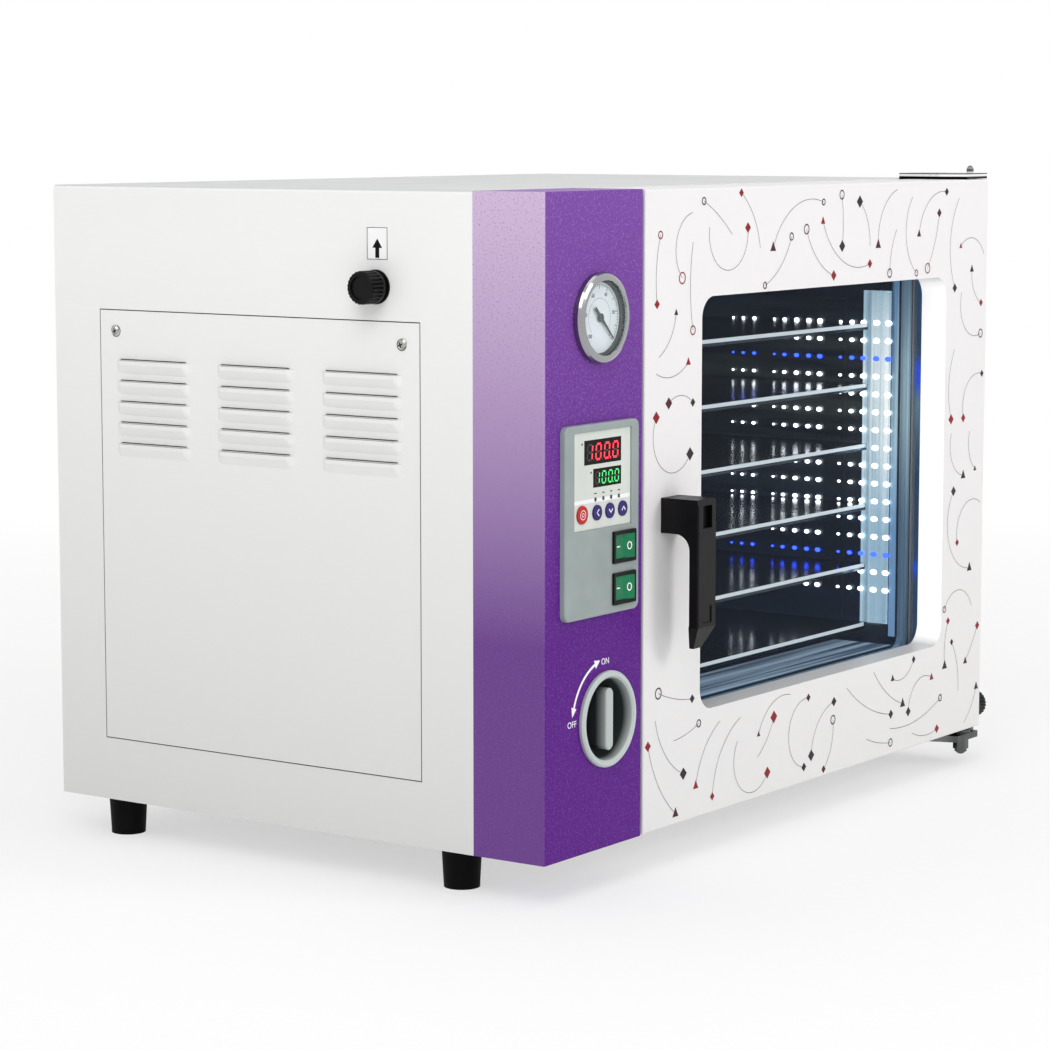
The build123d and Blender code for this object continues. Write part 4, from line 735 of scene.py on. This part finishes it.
def shelf_edges():
    edges = Print(facing_front(0.0))
    for name in sorted(n for n in frame["nodes"] if n.startswith("shelf_") and n[6:].isdigit()):
        low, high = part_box(name)
        edges.onto = facing_front(low.y)
        edges.box(low.x + 1 * MM, high.x - 1 * MM, high.z - SHELF_EDGE, high.z - 0.1 * MM)
    edges.done("shelf_edges", edge_highlight, "cabinet")


shelf_edges()

# ---- gauge ----------------------------------------------------------------------------------

DIAL_RADIUS = (dial_high.x - dial_low.x) / 2
GAUGE_START = -44.0                   # direction of the zero mark, from +X towards +Z
GAUGE_SWEEP = 270.0
TICKS = 50
TICK_OUTER = DIAL_RADIUS - 3.2 * MM
INNER_CIRCLE = DIAL_RADIUS - 13.5 * MM
NUMBER_REACH = DIAL_RADIUS - 9.4 * MM
NUMBERS = ("0", "20", "40", "60", "80", "100")
dial_plane = facing_front(dial_low.y)


def on_dial(radius, angle):
    """A place on the dial, as (x, z)."""
    return GAUGE_X + radius * math.cos(angle), GAUGE_Z + radius * math.sin(angle)


def dial_marks():
    ticks = Print(dial_plane, INK / 2)
    for i in range(TICKS + 1):
        angle = math.radians(GAUGE_START + GAUGE_SWEEP * i / TICKS)
        long = i % 5 == 0
        inner = TICK_OUTER - (3.4 if long else 1.8) * MM
        ticks.strip([on_dial(r, angle) for r in (inner, TICK_OUTER)],
                    (0.55 if long else 0.25) * MM)
    for radius, width in ((TICK_OUTER, 0.3), (INNER_CIRCLE, 0.25)):
        ticks.strip(arc(GAUGE_X, GAUGE_Z, radius, GAUGE_START, GAUGE_START + GAUGE_SWEEP, 48),
                    width * MM)
    ticks.done("dial_ticks", ink_black, "cabinet")
    dial_rim = Print(dial_plane, INK)
    dial_rim.ring(GAUGE_X, GAUGE_Z, DIAL_RADIUS - 0.7 * MM, 1.4 * MM, 48)
    dial_rim.done("dial_rim", ink_black, "cabinet")
    for i, number in enumerate(NUMBERS):
        angle = math.radians(GAUGE_START + GAUGE_SWEEP * i / (len(NUMBERS) - 1))
        spot = dial_plane(*on_dial(NUMBER_REACH, angle), INK)
        lettering(f"dial_number_{number}", number, spot, 4.2 * MM, ink_black, "cabinet")


dial_marks()

# ---- controller -----------------------------------------------------------------------------

module_plane = facing_front(module_low.y)
SEGMENTS = {"0": "abcdef", "1": "bc"}
READING, POINT_AFTER = "1000", 2


def digit_strokes(u, v, width, height, lean=0.08):
    """The seven strokes of a digit whose lower left corner is at (u, v)."""
    half = height / 2
    gap = 0.07 * height

    def point(x, y):
        return (u + x + lean * y, v + y)

    return {
        "a": [point(gap, height), point(width - gap, height)],
        "b": [point(width, half + gap), point(width, height - gap)],
        "c": [point(width, gap), point(width, half - gap)],
        "d": [point(gap, 0), point(width - gap, 0)],
        "e": [point(0, gap), point(0, half - gap)],
        "f": [point(0, half + gap), point(0, height - gap)],
        "g": [point(gap, half), point(width - gap, half)],
    }


def display(name, x0, x1, z0, z1, lit_digits):
    plane = facing_front(windows_face)
    bright, dim = Print(plane, INK), Print(plane, INK / 2)
    pitch = (x1 - x0) / (len(READING) + 0.35)
    height = (z1 - z0) * 0.62
    width = pitch * 0.56
    for i, character in enumerate(READING):
        u = x0 + pitch * (0.34 + i)
        v = z0 + (z1 - z0) * 0.19
        for key, stroke in digit_strokes(u, v, width, height).items():
            target = bright if key in SEGMENTS[character] else dim
            target.strip(stroke, height * 0.13)
        point = bright if i == POINT_AFTER else dim
        point.disc(u + width + pitch * 0.17, v, height * 0.07)
    bright.done(f"{name}_lit", lit_digits, "cabinet")
    dim.done(f"{name}_unlit", digit_off, "cabinet")


def display_boxes():
    """Ranges of the upper and the lower window, from their meshes."""
    spots = [v.co for v in frame["nodes"]["display_windows"].data.vertices]
    heights = sorted({round(s.z, 4) for s in spots})
    split = (heights[1] + heights[2]) / 2
    boxes = []
    for group in ([s for s in spots if s.z > split], [s for s in spots if s.z < split]):
        boxes.append((min(s.x for s in group), max(s.x for s in group),
                      min(s.z for s in group), max(s.z for s in group)))
    return boxes


upper_box, lower_box = display_boxes()
display("digits_upper", *upper_box, digit_red)
display("digits_lower", *lower_box, digit_green)

LAMP_DROP = 9.2 * MM                  # of the four lamps, below the lower window
DASH_DROP = (5.0 * MM, 4.2 * MM)


def module_marks():
    legend, lamps = Print(module_plane), Print(module_plane)
    for i in range(4):
        u = lower_box[0] + (lower_box[1] - lower_box[0]) * (0.08 + 0.28 * i)
        v = lower_box[2]
        legend.ring(u, v - LAMP_DROP, 1.5 * MM, 0.4 * MM, 14)
        lamps.disc(u, v - LAMP_DROP, 1.1 * MM, 1.4 * MM)
        legend.box(u - 1.6 * MM, u + 1.6 * MM, v - DASH_DROP[0], v - DASH_DROP[1])
    for box in (upper_box, lower_box):
        legend.disc(box[0] - 3 * MM, box[3] - 2.5 * MM, 0.9 * MM)
    legend.done("controller_marks", ink_black, "cabinet")
    lamps.done("controller_lamps", digit_off, "cabinet")
    stripe = Print(module_plane, INK / 2)
    stripe.box(module_low.x + 1 * MM, module_high.x - 1 * MM, module_low.z + 20.5 * MM,
               module_low.z + 23.5 * MM)
    stripe.done("controller_stripe", ink_white, "cabinet")


module_marks()

KEY_ARROW = ((-0.22, 0.42), (0.25, 0.0), (-0.22, -0.42))     # in shares of the key's radius
KEY_TURNS = {"key_left": 180, "key_down": 270, "key_up": 90}

for name in ("key_power", "key_left", "key_down", "key_up"):
    low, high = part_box(name)
    u, v, r = (low.x + high.x) / 2, (low.z + high.z) / 2, (high.x - low.x) / 2
    mark = Print(facing_front(low.y))
    if name == "key_power":
        mark.ring(u, v, r * 0.5, 0.55 * MM)
        mark.ring(u, v, r * 0.2, 0.5 * MM, 14)
    else:
        a = math.radians(KEY_TURNS[name])
        mark.strip([(u + r * (x * math.cos(a) - y * math.sin(a)),
                     v + r * (x * math.sin(a) + y * math.cos(a))) for x, y in KEY_ARROW],
                   1.1 * MM)
    mark.done(f"{name}_mark", ink_white, name)

# ---- rocker switches ------------------------------------------------------------------------

ROCKER_TILT = math.radians(-8.0)
ROCKER_FACE, ROCKER_VALLEY, ROCKER_HALF = 4.6 * MM, 3.2 * MM, 12.2 * MM


def rocker_marks(name):
    joint = next(j for j in frame["joints"] if j["child"] == name)
    pivot = Vector(joint["pos_m"])
    tilt = Matrix.Translation(pivot) @ Matrix.Rotation(ROCKER_TILT, 4, "Z")

    def onto(u, v, d=0.0):
        fall = (ROCKER_FACE - ROCKER_VALLEY) * abs(u) / ROCKER_HALF
        return tilt @ Vector((u, -(ROCKER_VALLEY + fall) - d, v))

    mark = Print(onto)
    mark.strip([(-8.6 * MM, 0), (-4.4 * MM, 0)], 1.1 * MM)
    mark.strip(loop(6.6 * MM, 0.0, 2.1 * MM, 2.8 * MM, 24), 0.9 * MM, closed=True)
    mark.done(f"{name}_mark", ink_white, name)


for name in ("light_rocker", "power_rocker"):
    rocker_marks(name)

# ---- valve arrow and words ------------------------------------------------------------------

column_plane = facing_front(FRONT)
ARROW_RADIUS = 47.5 * MM
ARROW_ENDS = (110, 162)               # degrees
ARROW_HEAD, ARROW_HALF = 7.5 * MM, 3.6 * MM


def valve_arrow():
    arrow = Print(column_plane)
    points = arc(VALVE_X, VALVE_Z, ARROW_RADIUS, *ARROW_ENDS, 24)
    arrow.strip(points, 2.2 * MM)
    for index, direction in ((0, -1), (-1, 1)):
        end = Vector(points[index])
        radial = Vector((end.x - VALVE_X, end.y - VALVE_Z)).normalized()
        along = Vector((-radial.y, radial.x)) * direction
        corners = [end + radial * ARROW_HALF, end + along * ARROW_HEAD, end - radial * ARROW_HALF]
        if direction > 0:
            corners.reverse()
        arrow.polygon([tuple(c) for c in corners])
    arrow.done("valve_arrow", ink_white, "cabinet")


valve_arrow()
for name, text, x_mm, z_mm in (("valve_on", "ON", -2, 45.5), ("valve_off", "OFF", -48, 2)):
    lettering(name, text, column_plane(VALVE_X + x_mm * MM, VALVE_Z + z_mm * MM, INK),
              7.0 * MM, ink_white, "cabinet")

# ---- label and screws -----------------------------------------------------------------------

LABEL_Y, LABEL_Z = -90.7 * MM, 504.6 * MM
LABEL_HALF = (10.5 * MM, 13 * MM)
LABEL_FRAME = 0.8 * MM                # from the label's edge to its frame
LABEL_THICKNESS = 0.2 * MM


def flow_label():
    """A white label with a frame and an upward arrow."""
    u, v = -LABEL_Y, LABEL_Z
    half_u, half_v = LABEL_HALF
    label = Print(facing_left(LEFT), LABEL_THICKNESS)
    label.box(u - half_u, u + half_u, v - half_v, v + half_v)
    label.done("flow_label", label_white, "cabinet")
    ink = Print(facing_left(LEFT - LABEL_THICKNESS))
    half_u, half_v = half_u - LABEL_FRAME, half_v - LABEL_FRAME
    ink.frame(u - half_u, u + half_u, v - half_v, v + half_v, 0.7 * MM)
    ink.polygon([(u - 4.8 * MM, v - 3.4 * MM), (u + 4.8 * MM, v - 3.4 * MM),
                 (u, v + 3.8 * MM)])
    ink.box(u - 1.9 * MM, u + 1.9 * MM, v - 11.2 * MM, v - 3.3 * MM)
    ink.done("flow_label_arrow", ink_black, "cabinet")


flow_label()

PANEL_FIRST_LOUVRE = 42.0 * MM        # top of the panel to the first mouth
PANEL_ROW = 17.2 * MM
PANEL_COLUMN = 107.5 * MM
LOUVRE_HALF = 36.5 * MM
PANEL_SCREW_INSET = 17.0 * MM


def louvre_mouths():
    """In each louvre's slot, a thin shaded line with the panel's paint above it."""
    middle = -(panel_low.y + panel_high.y) / 2
    shade = Print(facing_left(LEFT + 0.3 * MM), 0.0)
    paint = Print(facing_left(LEFT + 0.2 * MM), 0.0)
    for column in (-1, 0, 1):
        for row in range(5):
            u = middle + column * PANEL_COLUMN
            v = panel_high.z - PANEL_FIRST_LOUVRE - row * PANEL_ROW
            shade.box(u - LOUVRE_HALF, u + LOUVRE_HALF, v - 0.6 * MM, v + 1.6 * MM)
            paint.box(u - LOUVRE_HALF, u + LOUVRE_HALF, v + 0.7 * MM, v + 1.6 * MM)
    shade.done("louvre_shades", louvre_shade, "cabinet")
    paint.done("louvre_paint", white, "cabinet")


def panel_outline():
    """The shaded gap round the access panel."""
    out = 0.4 * MM
    gap = Print(facing_left(LEFT + 0.4 * MM), 0.0)
    gap.frame(-panel_high.y - out, -panel_low.y + out, panel_low.z - out, panel_high.z + out,
              1.2 * MM)
    gap.done("panel_gap_shade", louvre_shade, "cabinet")


def panel_screw_marks():
    """A dark rim and a cross on each of the panel's two screws: painted shade round each head and
    in its recess.
    """
    marks = Print(facing_left(LEFT - 2.2 * MM), INK)
    rims = Print(facing_left(LEFT - 0.1 * MM), INK)
    for y in (panel_low.y + PANEL_SCREW_INSET, panel_high.y - PANEL_SCREW_INSET):
        u, v = -y, panel_high.z - PANEL_SCREW_INSET
        for spin in (20, 110):
            a = math.radians(spin)
            du, dv = 2.2 * MM * math.cos(a), 2.2 * MM * math.sin(a)
            marks.strip([(u - du, v - dv), (u + du, v + dv)], 0.9 * MM)
        rims.ring(u, v, 4.4 * MM, 0.7 * MM)
    marks.done("panel_screw_crosses", ink_black, "cabinet")
    rims.done("panel_screw_rims", ink_charcoal, "cabinet")


louvre_mouths()
panel_outline()
panel_screw_marks()

# ---- floor, light and camera ----------------------------------------------------------------


FLOOR_HALF, FLOOR_STEPS = 12.0, 24
FLOOR_SHADE = (0.93, 0.93, 0.93, 1)
FLOOR_FADE = (0.5, 2.2, 0.55, 1.0)    # from and to these metres, the share that is plain white
WORLD_LIGHT = 0.55                    # on the object; the backdrop itself is white


def seen_directly(tree):
    """1 for what the camera sees, straight, in a gloss or through glass; else 0."""
    path = tree.nodes.new("ShaderNodeLightPath")
    value = path.outputs["Is Camera Ray"]
    for ray in ("Is Transmission Ray", "Is Glossy Ray"):
        either = tree.nodes.new("ShaderNodeMath")
        either.operation = "MAXIMUM"
        tree.links.new(value, either.inputs[0])
        tree.links.new(path.outputs[ray], either.inputs[1])
        value = either.outputs[0]
    return value


def floor():
    steps, size = FLOOR_STEPS, FLOOR_HALF
    verts = [(-size + 2 * size * i / steps, -size + 2 * size * j / steps, 0.0)
             for j in range(steps + 1) for i in range(steps + 1)]
    faces = [(j * (steps + 1) + i, j * (steps + 1) + i + 1, (j + 1) * (steps + 1) + i + 1,
              (j + 1) * (steps + 1) + i) for j in range(steps) for i in range(steps)]
    mesh = bpy.data.meshes.new("floor")
    mesh.from_pydata(verts, [], faces)
    obj = bpy.data.objects.new("floor", mesh)
    bpy.context.collection.objects.link(obj)
    material = bpy.data.materials.new("floor")
    material.use_nodes = True
    nodes, links = material.node_tree.nodes, material.node_tree.links
    shader = nodes["Principled BSDF"]
    shader.inputs["Base Color"].default_value = FLOOR_SHADE
    shader.inputs["Roughness"].default_value = 0.8
    glow = nodes.new("ShaderNodeEmission")
    place = nodes.new("ShaderNodeTexCoord")
    reach = nodes.new("ShaderNodeVectorMath")
    reach.operation = "LENGTH"
    links.new(place.outputs["Object"], reach.inputs[0])
    fade = nodes.new("ShaderNodeMapRange")
    for index, value in enumerate(FLOOR_FADE, start=1):
        fade.inputs[index].default_value = value
    links.new(reach.outputs["Value"], fade.inputs["Value"])
    share = nodes.new("ShaderNodeMath")
    share.operation = "MULTIPLY"
    links.new(seen_directly(material.node_tree), share.inputs[0])
    links.new(fade.outputs["Result"], share.inputs[1])
    mix = nodes.new("ShaderNodeMixShader")
    links.new(share.outputs[0], mix.inputs[0])
    links.new(shader.outputs[0], mix.inputs[1])
    links.new(glow.outputs[0], mix.inputs[2])
    links.new(mix.outputs[0], nodes["Material Output"].inputs["Surface"])
    mesh.materials.append(material)


def world():
    studio = bpy.data.worlds.new("studio")
    bpy.context.scene.world = studio
    studio.use_nodes = True
    nodes, links = studio.node_tree.nodes, studio.node_tree.links
    background = nodes["Background"]
    background.inputs["Color"].default_value = (1, 1, 1, 1)
    level = nodes.new("ShaderNodeMapRange")
    level.inputs["To Min"].default_value = WORLD_LIGHT
    level.inputs["To Max"].default_value = 1.0
    links.new(seen_directly(studio.node_tree), level.inputs["Value"])
    links.new(level.outputs["Result"], background.inputs["Strength"])


LAMP_AIM = (0, 0, 0.3)
LAMPS = (                             # name, place, width, height, power
    ("key", (-2.6, -1.2, 2.8), 2.2, 2.2, 48),
    ("front", (0.8, -3.2, 1.6), 1.0, 1.2, 34),
    ("top", (0.2, 0.2, 3.2), 2.5, 2.5, 14),
)


def softbox(name, place, width, height, power):
    lamp = bpy.data.lights.new(name, "AREA")
    lamp.shape = "RECTANGLE"
    lamp.size = width
    lamp.size_y = height
    lamp.energy = power
    obj = bpy.data.objects.new(name, lamp)
    bpy.context.collection.objects.link(obj)
    obj.location = place
    obj.rotation_mode = "QUATERNION"
    obj.rotation_quaternion = (Vector(LAMP_AIM) - Vector(place)).to_track_quat("-Z", "Y")


CAMERA_PLACE = (-2.3684, -1.63575, 0.5977)
CAMERA_YAW, CAMERA_PITCH = 55.007, 7.03              # degrees, to the right and down
FOCAL_PIXELS, PICTURE_PIXELS, SENSOR_MM = 3269.2, 1050, 36.0


def camera():
    data = bpy.data.cameras.new("camera")
    data.sensor_width = SENSOR_MM
    data.lens = FOCAL_PIXELS / PICTURE_PIXELS * SENSOR_MM
    obj = bpy.data.objects.new("camera", data)
    bpy.context.collection.objects.link(obj)
    yaw, pitch = math.radians(CAMERA_YAW), math.radians(CAMERA_PITCH)
    ahead = Vector((math.sin(yaw) * math.cos(pitch), math.cos(yaw) * math.cos(pitch),
                    -math.sin(pitch)))
    obj.rotation_mode = "QUATERNION"
    obj.location = CAMERA_PLACE
    obj.rotation_quaternion = ahead.to_track_quat("-Z", "Y")
    data.clip_start, data.clip_end = 0.05, 60.0
    bpy.context.scene.camera = obj


floor()
world()
for lamp in LAMPS:
    softbox(*lamp)
camera()
bpy.context.scene.view_settings.view_transform = "Standard"
